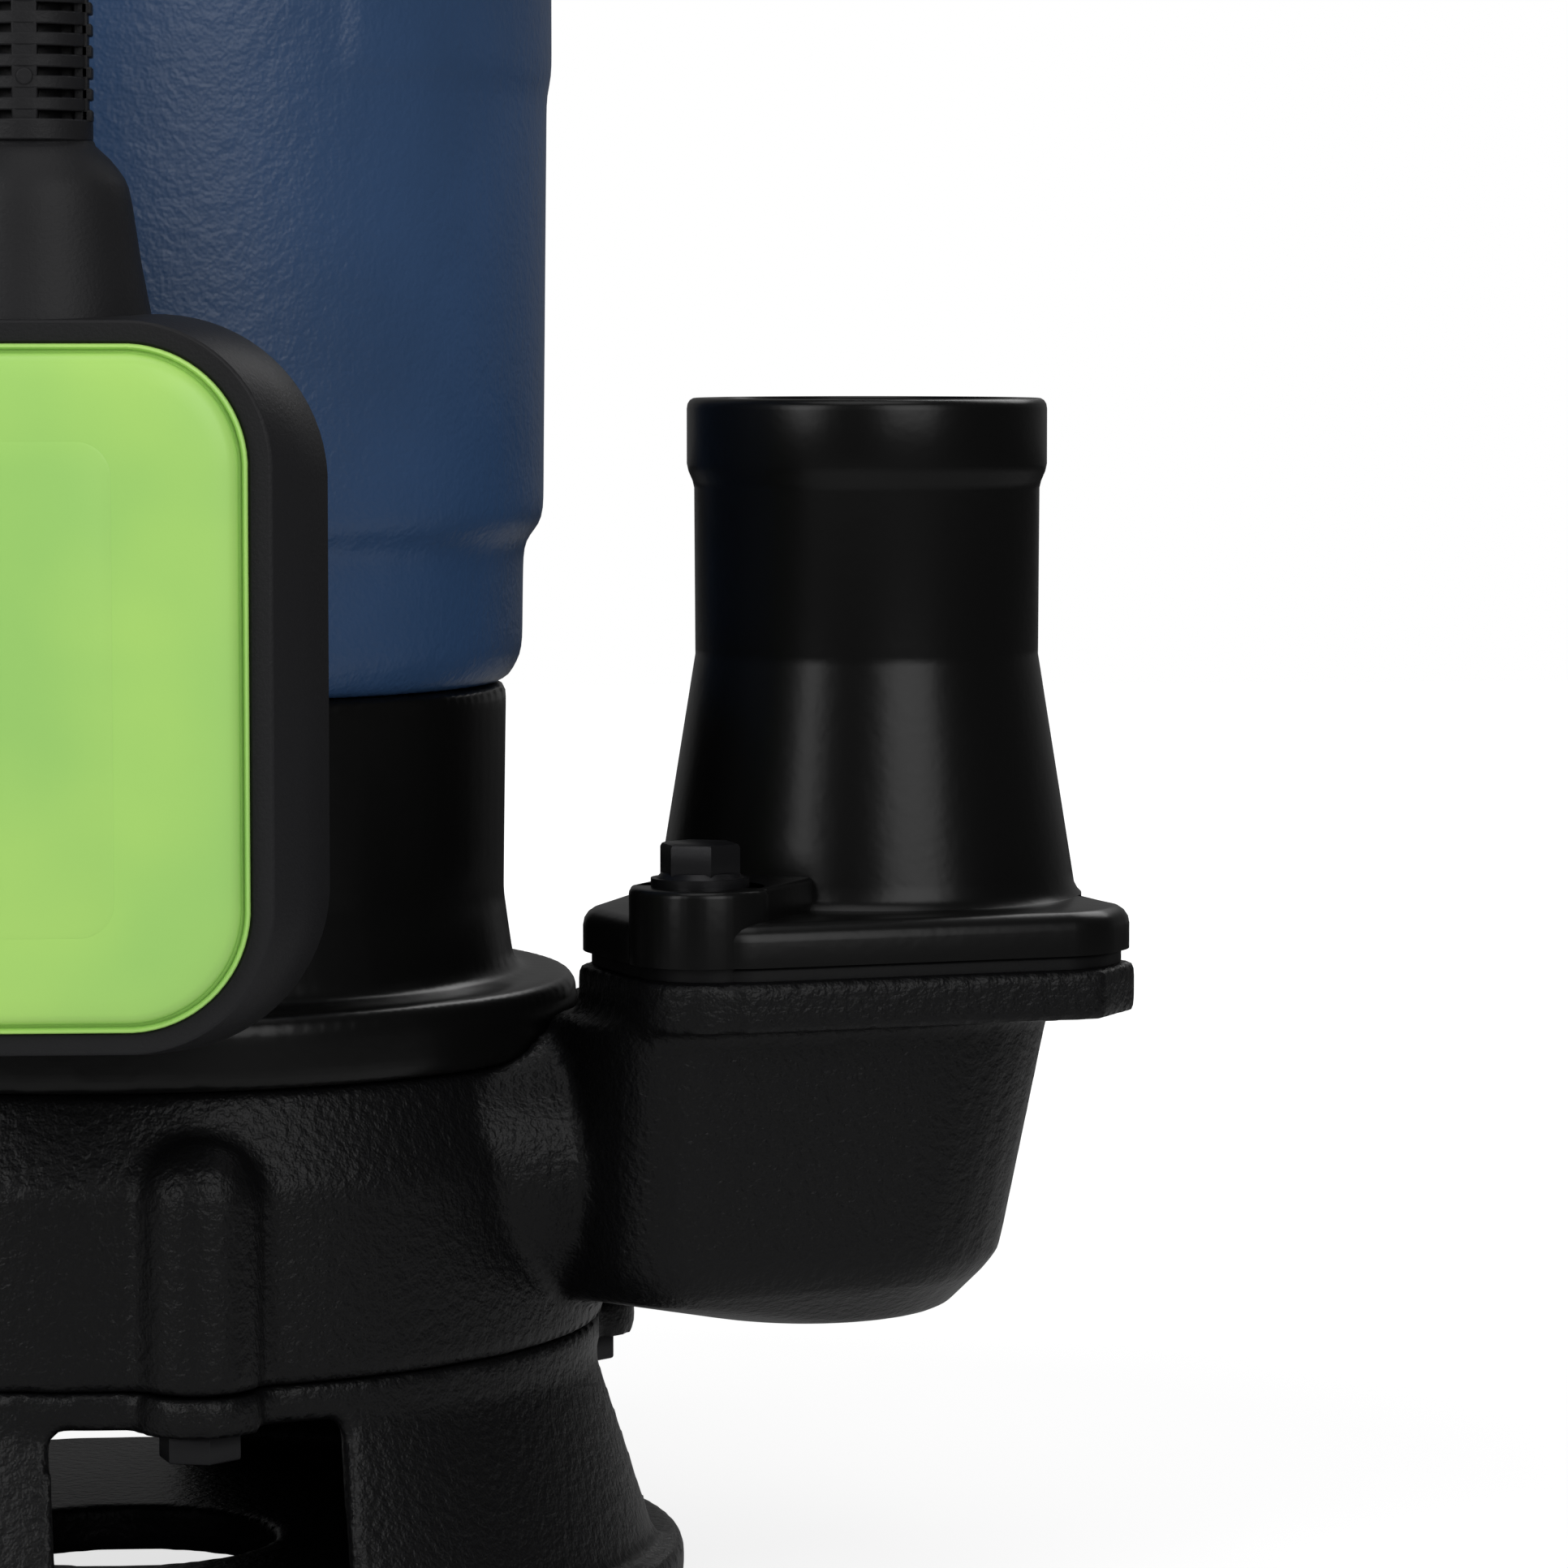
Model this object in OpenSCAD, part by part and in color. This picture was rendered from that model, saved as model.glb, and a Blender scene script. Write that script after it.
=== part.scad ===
// Submersible sump pump: cast stand, volute with tangential valve chamber, sealed motor
// and a tethered float switch. Millimetres, +Z up, pump axis on Z, floor at z = 0.

/* [Base stand] */
// Radius of the base plate
base_r = 107.5; // [105:0.5:120]
// Thickness of the base plate
base_t = 9; // [6:0.5:12]
// Radius of the water hole in the base plate
suction_r = 29; // [20:1:40]
// Height of the stand, floor to seam
stand_h = 52; // [46:1:70]
// Height of the plain rim at the top of the stand
stand_rim_h = 7; // [6:0.5:9]
// Radius of the stand's rim
stand_top_r = 91.2; // [90.5:0.1:92]
// Flare of the legs from the vertical, degrees
flare = 17; // [10:0.5:18]
// Wall of the legs
stand_wall = 6; // [4:0.5:8]
// Radius of the opening inside the rim
stand_bore_r = 75; // [74:0.5:77]
// Width of each water window
window_w = 53; // [40:1:60]
// Corner radius of each water window
window_corner = 4; // [2:0.5:8]
// Turn of the windows and bolt lugs about the pump axis, degrees
bolt_turn = 10.6; // [5:0.2:20]

/* [Suction plate] */
// Thickness of the suction plate
suction_plate_t = 5.5; // [4:0.5:6.5]
// Radius of the suction eye
suction_eye_r = 30; // [24:1:36]

/* [Volute] */
// Radius of the volute drum
volute_r = 92; // [91.5:0.1:96]
// Height of the volute casting, seam to seal housing
volute_h = 52.5; // [50:0.5:60]
// Height of the drum's upright wall
drum_h = 35.5; // [30:0.5:40]
// Radius where the shoulder meets the seal housing
shoulder_r = 85; // [80:0.5:86]
// Thickness of the volute floor
volute_floor = 6; // [5:0.5:7]
// Thickness of the volute roof
volute_roof = 7.5; // [6:0.5:9]
// Radius of the volute's bottom opening
volute_eye_r = 62; // [60:0.5:64]
// Radius of the volute's roof opening
roof_bore_r = 48; // [46:0.5:49]
// Smallest radius of the spiral passage
spiral_r0 = 63; // [62:0.5:66]
// Largest radius of the spiral passage
spiral_r1 = 79; // [74:0.5:81]

/* [Bolt lugs] */
// Radius of the circle of the stand bolts
lug_bc = 89; // [88:0.5:90]
// Radius of each bolt lug
lug_r = 11.5; // [10:0.5:13]
// Height of each lug's straight part above the seam
lug_h = 33.5; // [30:0.5:36]
// Radius of an M8 bolt
m8_r = 4; // [3.9:0.05:4.1]
// Length of the stand bolts under the head
stand_bolt_l = 30; // [24:1:34]

/* [Discharge] */
// Turn of the discharge from +X, degrees
stub_turn = 17; // [12:0.5:20]
// Offset of the discharge axis in front of the pump axis
stub_offset = 51; // [49:0.5:52]
// Distance of the outlet axis along the discharge
outlet_reach = 133; // [131:0.5:145]
// Height of the discharge axis above the seam
stub_rise = 33; // [31:0.5:34]
// Outer radius of the discharge stub
stub_r = 26.5; // [25:0.5:28]
// Radius of the discharge passage
passage_r = 20.5; // [18:0.5:21]
// Wall of the valve chamber
pot_wall = 6.5; // [5:0.5:7]
// Depth of the valve chamber below the discharge axis
pot_drop = 32.5; // [32:0.5:34]
// Height of the valve chamber above the discharge axis
pot_rise = 28; // [27.5:0.5:32]
// Reach of the valve chamber beyond the outlet axis
pot_reach = 28.5; // [28:0.5:30]
// Radius of the chamber's outer corners
pot_nose_r = 32; // [28:1:32]
// Draft of the chamber's outer end
pot_draft = 7.5; // [6:0.5:9]
// Draft of the chamber's front and back
pot_side_draft = 4; // [3:0.5:5]
// Fillet round the chamber's foot
pot_foot_r = 10.5; // [9:0.5:12]

/* [Outlet flange] */
// Reach of the flange towards the pump
fl_left = 62; // [61:0.5:64]
// Reach of the flange away from the pump
fl_right = 37; // [36.5:0.5:40]
// Reach of the flange to the front
fl_front = 55; // [54:0.5:57]
// Reach of the flange to the back
fl_back = 57; // [56:0.5:60]
// Corner chamfer of the flange
fl_chamfer = 12; // [8:0.5:14]
// Radius of each bolt boss
boss_r = 13; // [12:0.5:14]
// Height of the raised pad round each bolt
boss_pad = 6; // [4:0.5:8]
// Thickness of the chamber's flange
low_flange_t = 9.5; // [8:0.5:12]
// Thickness of the gasket
gasket_t = 2.5; // [2:0.25:4]
// Thickness of the adapter's flange
up_flange_t = 8; // [6:0.5:10]
// Length of each outlet bolt under the head
outlet_bolt_l = 24; // [21:0.5:25]

/* [Outlet adapter] */
// Radius of the cone at the flange
cone_r = 41; // [40:0.5:43]
// Radius of the pipe above the cone
pipe_r = 32.6; // [32.5:0.1:33.5]
// Wall of the cone at the flange
cone_wall = 5; // [4:0.25:6]
// Height of the cone above the flange
cone_h = 45.5; // [42:0.5:50]
// Height of the pipe between cone and collar
pipe_h = 31.5; // [28:0.5:40]
// Radius of the collar
collar_r = 34.2; // [34:0.1:36]
// Height of the collar
collar_h = 17; // [14:0.5:22]
// Bore of the pipe
pipe_bore_r = 27.5; // [25:0.25:28]
// Minor radius of the G2 thread
thread_r = 28.33; // [28.3:0.01:28.5]
// Length of the G2 thread
thread_l = 24; // [20:0.5:26]

/* [Check valve] */
// Radius of the valve seat
seat_r = 21; // [18:0.5:21.5]
// Radius of the flap
flap_r = 25; // [24:0.25:25.5]
// Thickness of the rubber flap
flap_t = 3; // [2.5:0.25:3.5]
// Distance of the hinge from the outlet axis
hinge_u = 28.5; // [28:0.25:29]
// Radius of the hinge pin
pin_r = 2; // [1.5:0.1:2.2]

/* [Seal housing] */
// Radius of the shoulder disk
disk_r = 87; // [86:0.5:89]
// Height of the shoulder disk
disk_h = 13.5; // [12:0.5:16]
// Height of the seal housing
housing_h = 68.5; // [66:0.5:76]
// Radius of the neck
neck_r = 73.2; // [72:0.1:74]
// Radius of the oil chamber
oil_r = 62; // [56:0.5:63]
// Thickness of the oil chamber floor
oil_floor = 7.5; // [7:0.5:9]
// Thickness of the web under the motor
web_t = 27; // [26:0.5:30]
// Radius of the seal seats
seal_r = 17; // [16:0.5:18]

/* [Motor] */
// Height of the motor casing
casing_h = 157; // [154:1:200]
// Radius of the casing's lower band
band_r = 77.2; // [77:0.1:78]
// Height of the casing's lower band
band_h = 26; // [22:0.5:30]
// Radius of the casing above the band
casing_r = 81; // [80:0.5:82]
// Radius of the casing at the top of its draft
casing_top_r = 82; // [82:0.5:84]
// Bore of the casing that holds the stator
stator_r = 70; // [68:0.5:71]
// Thickness of the casing's bottom flange
casing_floor = 8.2; // [7.5:0.1:10]
// Radius of the casing's top flange
top_flange_r = 92; // [91:0.5:95]
// Thickness of the casing's top flange
top_flange_t = 10; // [8:0.5:12]
// Length of the stator and rotor stack
stack_h = 76; // [70:1:80]
// Length of the terminal block
block_l = 48; // [44:1:52]
// Width of the terminal block
block_w = 16; // [14:0.5:18]
// Height of the terminal block
block_h = 14; // [12:0.5:16]
// Radius of the rotor
rotor_r = 37.5; // [36:0.5:38]
// Air gap between rotor and stator
air_gap = 0.6; // [0.4:0.1:1]

/* [Shaft] */
// Radius of the shaft in the seals and the lower bearing
shaft_r = 10; // [9.9:0.05:10.1]
// Radius of the shaft in the impeller
impeller_bore_r = 8; // [7:0.25:8.5]
// Radius of the shaft in the rotor
rotor_seat_r = 14; // [13:0.5:15]
// Radius of the shaft in the upper bearing
top_shaft_r = 7.5; // [7.4:0.05:7.6]

/* [Impeller] */
// Radius of the impeller
impeller_r = 56; // [50:0.5:58]
// Thickness of the impeller disc
impeller_disc_t = 4; // [3:0.5:5]
// Height of the vanes
vane_h = 22; // [16:0.5:24]
// Thickness of the vanes
vane_t = 4; // [3:0.5:5]
// Number of vanes
vanes = 6; // [4:1:8]

/* [Top cover] */
// Height of the top cover
cover_h = 32; // [28:0.5:40]
// Radius of the cover's dome at the flange
cover_r = 78; // [77:0.5:79]
// Thickness of the cover's flange
cover_flange_t = 8; // [6:0.5:10]
// Thickness of the cover's roof
cover_roof = 6; // [5:0.5:8]
// Radius of an M6 screw
m6_r = 3; // [2.9:0.05:3.1]

/* [Handle] */
// Width of each handle foot
foot_w = 20; // [18:0.5:22]
// Length of each handle foot
foot_l = 44; // [40:1:48]
// Half the distance between the handle's posts
handle_x = 52; // [50:0.5:53]
// Radius of the handle bar
handle_r = 7; // [6:0.5:8]
// Height of the handle above the cover
handle_h = 83; // [75:1:110]
// Bend radius of the handle
handle_bend = 20; // [16:1:26]

/* [Float switch] */
// Left and right place of the float
float_x = -11; // [-12:0.5:-10]
// Distance of the float in front of the pump axis
float_out = 108; // [108:0.5:114]
// Height of the float's underside above the floor at rest
float_z = 115.5; // [112:0.5:120]
// Width of the float's frame
frame_w = 102; // [98:1:106]
// Height of the float's frame
frame_h = 127; // [122:1:132]
// Corner radius of the float's frame
frame_corner = 26; // [20:0.5:30]
// Thickness of the float's frame at its faces
frame_t = 40; // [36:1:42]
// Width of the float's shells
shell_w = 75; // [70:1:78]
// Height of the float's shells
shell_h = 117; // [112:1:119]
// Corner radius of the float's shells
shell_corner = 17; // [14:0.5:20]
// Depth of each shell from the joint to its face
shell_d = 24.5; // [23:0.5:25]
// Wall of the float's shells
shell_wall = 2.5; // [2:0.25:3]
// Height of the float's neck
neck_h = 29.5; // [26:0.5:34]
// Length of the strain relief
relief_h = 34; // [28:1:40]
// Radius of the float's lead
lead_r = 3.5; // [3:0.1:3.8]
// Radius of the ball in the float
ball_r = 9; // [7:0.5:10]
// Travel of the ball in the float
ball_travel = 30; // [24:1:32]

/* [Hidden] */
$fn = 96;
HULL_FN = 28;
cast_black = [0.07, 0.07, 0.075];
motor_blue = [0.13, 0.23, 0.38];
steel = [0.72, 0.73, 0.75];
zinc = [0.55, 0.55, 0.56];
rubber = [0.05, 0.05, 0.05];
plastic_black = [0.09, 0.09, 0.1];
float_green = [0.58, 0.78, 0.33];
copper = [0.72, 0.42, 0.22];
ceramic = [0.9, 0.89, 0.85];
iron_sheet = [0.4, 0.4, 0.42];

fit = 0.05;          // radial clearance of a close fit
slip = 0.5;          // radial clearance of a bolt in a plain hole
edge = 1.5;          // broken edge on castings
eps = 1;             // overrun of a cut past a face
stud_count = 4;
head8_h = 5.3;       // M8 hexagon head
head8_af = 13;
head6_h = 4;         // M6 hexagon head
head6_af = 10;
head6_r = 5;         // M6 cylinder head
cap6_h = 6;          // M6 socket cap head
low6_h = 3.5;        // M6 low head

// Levels up the pump axis
z_rim = stand_h - stand_rim_h;
foot_r = stand_top_r + (z_rim - base_t) * tan(flare);
z_chamber = stand_h + volute_floor;
z_volute = stand_h + volute_h;
z_roof = z_volute - volute_roof;
z_disk = z_volute + disk_h;
z_oil = z_volute + oil_floor;
z_housing = z_volute + housing_h;
z_web = z_housing - web_t;
z_casing = z_housing + casing_h;
z_floor = z_housing + casing_floor;
z_cover = z_casing + cover_h;
z_pad = z_cover + 4;

// Bearings: bore, outside, width, ball radius, ball count
low_brg = [shaft_r, 26, 15, 4.8, 7];
top_brg = [top_shaft_r, 17.5, 11, 3, 8];
z_low_brg = z_web + 9;
z_bracket = z_casing - 40;
bracket_t = 8;
bracket_r = stator_r + 6;
z_top_brg = z_bracket - 2;
z_stack = z_floor + 14.8;
z_stack_top = z_stack + stack_h;

// Impeller and seals
z_disc = z_roof - 9 - impeller_disc_t;
z_hub_top = z_disc + impeller_disc_t + 4;
z_hub = z_disc - 14;
hub_r = 15;
nut_h = 12;
z_shaft = z_hub - nut_h - 2;
spigot_h = 6.5;
spigot_r = roof_bore_r - 0.1;
seat_depth = 5;
ring_r = 1.5;
groove_h = 2 * (ring_r + fit);

// Outlet levels
z_stub = stand_h + stub_rise;
z_low_flange = z_stub + pot_rise;
z_seat = z_low_flange + low_flange_t;
z_up_flange = z_seat + gasket_t;
z_flange_top = z_up_flange + up_flange_t;
z_cone_top = z_flange_top + cone_h;
z_collar = z_cone_top + pipe_h;
z_outlet = z_collar + collar_h;
boss_u = fl_left - boss_r;
boss_n = fl_front - boss_r - 1.5;
rear_u = fl_right - boss_r;
rear_n = fl_back - boss_r;
cone_bore_r = cone_r - cone_wall;
z_pin = z_seat + 4;

// Float levels
float_y = -float_out;
z_neck = float_z + frame_h;
z_relief = z_neck + neck_h;
z_relief_top = z_relief + relief_h;
pivot_gap = 0.3;
clip_h = 12;
tube_r = ball_r + 3;
z_tube = float_z + 20;
tube_floor = 2;
z_ball = z_tube + tube_floor + ball_r;
tube_h = tube_floor + 2 * ball_r + ball_travel;
z_lever = z_tube + tube_h + 1;
z_switch = z_lever + 5;

// Cable glands
gland_y = -50;
power_gland = [15, 48];
z_gland = z_pad;
gland_af = 24;
gland_bore_r = 5.5;
gland_mouth_r = 6;    // hole in the nut's dome, over the bush
bush_r = 6.4;
bush_bore_r = 5;
gland_hex_h = 6;
gland_neck_r = 9.5;
gland_neck_h = 10;
gland_nut_h = 15;
z_gland_nut = z_gland + gland_hex_h + 1;
z_gland_top = z_gland_nut + gland_nut_h;

// Route of the float's lead: heights and places from the gland to the clip
lead_route = [[0, 0, 0], [0, 0, 8], [0, -3, 18], [0, -9, 26], [0, -18, 32], [0, -29, 34],
    [0, -40, 32], [0, -49, 26], [0, -55, 18], [0, -58, 8], [0, -58, -3], [0, -58, -14],
    [0, -58, -26]];
lead_sides = 12;
lead_in = 2;         // depth of the lead in the gland
z_clip = z_gland_top - lead_in + lead_route[len(lead_route) - 1][2];
z_pivot = z_clip - pivot_gap - lead_r;
lead_drop = z_pivot - z_relief_top;

// Shapes that repeat
module ring(r_out, r_in, h) {
    difference() {
        cylinder(r = r_out, h = h);
        translate([0, 0, -eps]) cylinder(r = r_in, h = h + 2 * eps);
    }
}

module hexagon(af, h) {
    cylinder(r = af / 2 / cos(30), h = h, $fn = 6);
}

module around(count, r, turn = 0) {
    for (i = [0 : count - 1]) rotate([0, 0, turn + 360 * i / count]) translate([0, -r, 0]) children();
}

module o_ring(r, section) {
    rotate_extrude() translate([r, 0]) circle(r = section, $fn = 24);
}

// Points of an arc in a profile
function arc(cx, cy, r, from, to, steps) =
    [for (i = [0 : steps]) let (a = from + (to - from) * i / steps) [cx + r * cos(a), cy + r * sin(a)]];

// Base stand: plate, flared legs between four water windows, rim with bolt lugs
leg_root = 0.5;      // depth of the legs in the plate and in the rim
rim_step = 0.3;      // rim proud of the legs
lug_relief = 0.2;    // bolt lugs stand back from the joint face
z_lug = z_rim - lug_relief;

module window_cut() {
    h = z_rim - base_t + 5 * leg_root;
    depth = base_r - stand_bore_r + 8;
    translate([0, -base_r - eps, base_t - 3 * leg_root]) {
        translate([-window_w / 2, 0, 0]) cube([window_w, depth, h - window_corner]);
        translate([-window_w / 2 + window_corner, 0, 0]) cube([window_w - 2 * window_corner, depth, h]);
        for (s = [-1, 1]) translate([s * (window_w / 2 - window_corner), 0, h - window_corner])
            rotate([-90, 0, 0]) cylinder(r = window_corner, h = depth);
    }
}

module stand_legs() {
    lean = leg_root * tan(flare);
    top_r = stand_top_r - rim_step - lean;
    difference() {
        rotate_extrude() polygon([[foot_r + lean, base_t - leg_root], [top_r, z_rim + leg_root],
            [top_r - stand_wall, z_rim + leg_root], [foot_r + lean - stand_wall, base_t - leg_root]]);
        around(stud_count, 0, bolt_turn) window_cut();
    }
}

module stand_rim() {
    difference() {
        union() {
            ring(stand_top_r, stand_bore_r, stand_rim_h);
            around(stud_count, lug_bc, bolt_turn) translate([0, 0, -lug_relief])
                cylinder(r = lug_r, h = stand_rim_h);
        }
        around(stud_count, lug_bc, bolt_turn) translate([0, 0, -eps])
            cylinder(r = m8_r + slip, h = stand_rim_h + 2 * eps);
    }
}

module base_stand() {
    color(cast_black) {
        rotate_extrude() polygon([[suction_r, 0], [base_r - edge, 0], [base_r, edge],
            [base_r, base_t - edge], [base_r - edge, base_t], [suction_r, base_t]]);
        stand_legs();
        translate([0, 0, z_rim]) stand_rim();
    }
}

module stand_bolts() {
    color(zinc) around(stud_count, lug_bc, bolt_turn) {
        translate([0, 0, z_lug - head8_h]) rotate([0, 0, 15]) hexagon(head8_af, head8_h);
        translate([0, 0, z_lug - eps]) cylinder(r = m8_r, h = stand_bolt_l + eps);
    }
}

// Suction plate under the volute, held by three screws
plate_screws = 3;
plate_screw_bc = (volute_eye_r + stand_bore_r) / 2;

module suction_plate() {
    color(cast_black) translate([0, 0, stand_h - suction_plate_t]) difference() {
        ring(stand_bore_r - slip, suction_eye_r, suction_plate_t);
        around(plate_screws, plate_screw_bc) translate([0, 0, -eps])
            cylinder(r = m6_r + slip, h = suction_plate_t + 2 * eps);
    }
}

module suction_plate_screws() {
    color(steel) around(plate_screws, plate_screw_bc) {
        translate([0, 0, stand_h - suction_plate_t - low6_h]) cylinder(r = head6_r, h = low6_h);
        translate([0, 0, stand_h - suction_plate_t - eps])
            cylinder(r = m6_r, h = suction_plate_t + volute_floor - 1 + eps);
    }
}

// Frame of the outlet: x along the discharge, y to the back, on the outlet axis
module at_outlet() {
    rotate([0, 0, stub_turn]) translate([outlet_reach, -stub_offset, 0]) children();
}

// Plan of the outlet flange: chamfered plate with a bolt boss on two opposite corners
module flange_plan(t) {
    linear_extrude(height = t) polygon([[-fl_left, -boss_n], [-boss_u, -boss_n - boss_r],
        [-boss_u + 4, -fl_front], [fl_right - fl_chamfer, -fl_front], [fl_right, -fl_front + fl_chamfer],
        [fl_right, rear_n], [rear_u, fl_back], [rear_u - boss_r, fl_back - 2], [-fl_left + 40, boss_n + 6],
        [-fl_left, -10]]);
    at_bosses() cylinder(r = boss_r, h = t);
}

module at_bosses() {
    translate([-boss_u, -boss_n, 0]) children();
    translate([rear_u, rear_n, 0]) rotate([0, 0, 180]) children();
}

// Levels of the chamber's outline: height, draft at the outer end and at the sides, fillet
pot_corner = 14;
pot_dome = 3.7;
pot_dome_r = 28;
pot_slab = 0.5;
z_pot_foot = z_stub - pot_drop + pot_dome + pot_foot_r + 4;
pot_levels = concat([[z_low_flange - pot_slab, 0, 0, 0]], [for (a = [0 : 22.5 : 90])
    [z_pot_foot - pot_foot_r * sin(a), pot_draft, pot_side_draft, pot_foot_r * (1 - cos(a))]]);

// Valve chamber, drawn solid; inset takes its wall off for the cavity
module pot(inset) {
    left = fl_left + 2.5 - inset;
    right = pot_reach - inset;
    front = fl_front - 8 - inset;
    back = fl_back - 18 - inset;
    corner = pot_corner - inset / 2;
    nose = pot_nose_r - inset;
    dome_u = (right - left) / 2 + 5.5;
    hull() {
        for (level = pot_levels, side = [-1, 1]) {
            z = level[0] + (level[1] > 0 ? inset : 0);
            n = (side > 0 ? back : front) - level[2] - level[3];
            turn_r = nose - level[3] / 2;
            translate([level[3] / 2 - left + corner, side * (n - corner), z])
                cylinder(r = corner, h = pot_slab, $fn = HULL_FN);
            translate([right - level[1] - level[3] - turn_r, side * (n - turn_r), z])
                cylinder(r = turn_r, h = pot_slab, $fn = HULL_FN);
        }
        translate([dome_u, 0, z_stub - pot_drop + inset + pot_dome])
            scale([pot_dome_r - inset, pot_dome_r - inset, pot_dome]) sphere(r = 1, $fn = HULL_FN);
        translate([-left - 2, 0, z_stub]) rotate([0, 90, 0])
            cylinder(r = stub_r - inset - 1, h = 1, $fn = HULL_FN);
    }
}

throat_u = 76;
throat_w = 34;
throat_h = 31;
throat_step = 1;     // throat's roof under the chamber's
lug_dome = 78;       // arc of a lug's rounded top
disk_gap = 0.5;
ear_t = 4;
ear_gap = 17.6;
ear_r = 4;

// Volute casting: drum, shoulder, bolt lugs, discharge stub, valve chamber and its flange
module volute_casing() {
    tap = m8_r + fit;
    color(cast_black) difference() {
        union() {
            rotate_extrude() polygon([[0, stand_h], [volute_r, stand_h], [volute_r, stand_h + drum_h],
                [shoulder_r, z_volute], [0, z_volute]]);
            around(stud_count, lug_bc, bolt_turn) translate([0, 0, stand_h + lug_relief]) rotate_extrude()
                polygon(concat([[0, 0], [lug_r, 0]], arc(0, lug_h, lug_r, 0, lug_dome, 7),
                [[0, lug_h + lug_r * sin(lug_dome)]]));
            rotate([0, 0, stub_turn]) translate([0, -stub_offset, z_stub]) rotate([0, 90, 0])
                cylinder(r = stub_r, h = outlet_reach - fl_left + 10);
            at_outlet() {
                pot(0);
                translate([0, 0, z_low_flange]) flange_plan(low_flange_t);
                for (s = [-1, 1]) translate([-hinge_u, (s * (ear_gap + ear_t) + ear_t) / 2, z_pin])
                    rotate([90, 0, 0]) linear_extrude(height = ear_t)
                    polygon(concat([[-ear_r, z_seat - z_pin - eps], [ear_r, z_seat - z_pin - eps]],
                    arc(0, 0, ear_r, 0, 180, 12)));
            }
        }
        // spiral passage
        translate([0, 0, z_chamber]) linear_extrude(height = z_roof - z_chamber)
            polygon([for (a = [0 : 7.5 : 352.5]) let (r = spiral_r0 + (spiral_r1 - spiral_r0) * a / 360)
                [r * cos(stub_turn - 40 + a), r * sin(stub_turn - 40 + a)]]);
        translate([0, 0, stand_h - eps]) cylinder(r = volute_eye_r, h = volute_floor + 2 * eps);
        translate([0, 0, z_roof - eps]) cylinder(r = roof_bore_r, h = volute_roof + 2 * eps);
        rotate([0, 0, stub_turn]) translate([0, -stub_offset, 0]) {
            translate([throat_u - 60, -throat_w / 2, z_roof - throat_h])
                cube([62, throat_w, throat_h - throat_step]);
            translate([throat_u, 0, z_stub]) rotate([0, 90, 0])
                cylinder(r = passage_r, h = outlet_reach - throat_u - 20);
        }
        difference() {
            at_outlet() pot(pot_wall);
            translate([0, 0, stand_h - eps]) cylinder(r = disk_r + disk_gap + pot_wall, h = volute_h + pot_rise);
        }
        translate([0, 0, z_volute]) cylinder(r = disk_r + disk_gap, h = disk_h + pot_rise);
        at_outlet() {
            translate([0, 0, z_low_flange - 2 * eps]) cylinder(r = seat_r, h = low_flange_t + 3 * eps);
            at_bosses() translate([0, 0, z_seat - outlet_bolt_l + up_flange_t + gasket_t + boss_pad - eps])
                cylinder(r = tap, h = outlet_bolt_l);
            translate([-hinge_u, 0, z_pin]) rotate([90, 0, 0])
                cylinder(r = pin_r + fit, h = ear_gap + 4 * ear_t, center = true);
        }
        around(stud_count, lug_bc, bolt_turn) translate([0, 0, stand_h - eps])
            cylinder(r = tap, h = stand_bolt_l - stand_rim_h + 2 + eps);
        around(plate_screws, plate_screw_bc) translate([0, 0, stand_h - eps])
            cylinder(r = m6_r + fit, h = volute_floor + 2 * eps);
        around(stud_count, cap_bc) translate([0, 0, z_roof - eps])
            cylinder(r = m6_r + slip / 2, h = volute_roof + 2 * eps);
    }
}

// Seal housing: shoulder disk, oil chamber, two seal seats and the lower bearing seat
cap_bc = 56.5;
groove_r = 51.2;
register_r = 40;
register_h = 3;
clip_groove = [z_low_brg + low_brg[2] + 0.3, 1.6];
plug_turn = 200;
plug_z = z_disk + 11;
plug_r = 5;
plug_face = 76;

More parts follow.
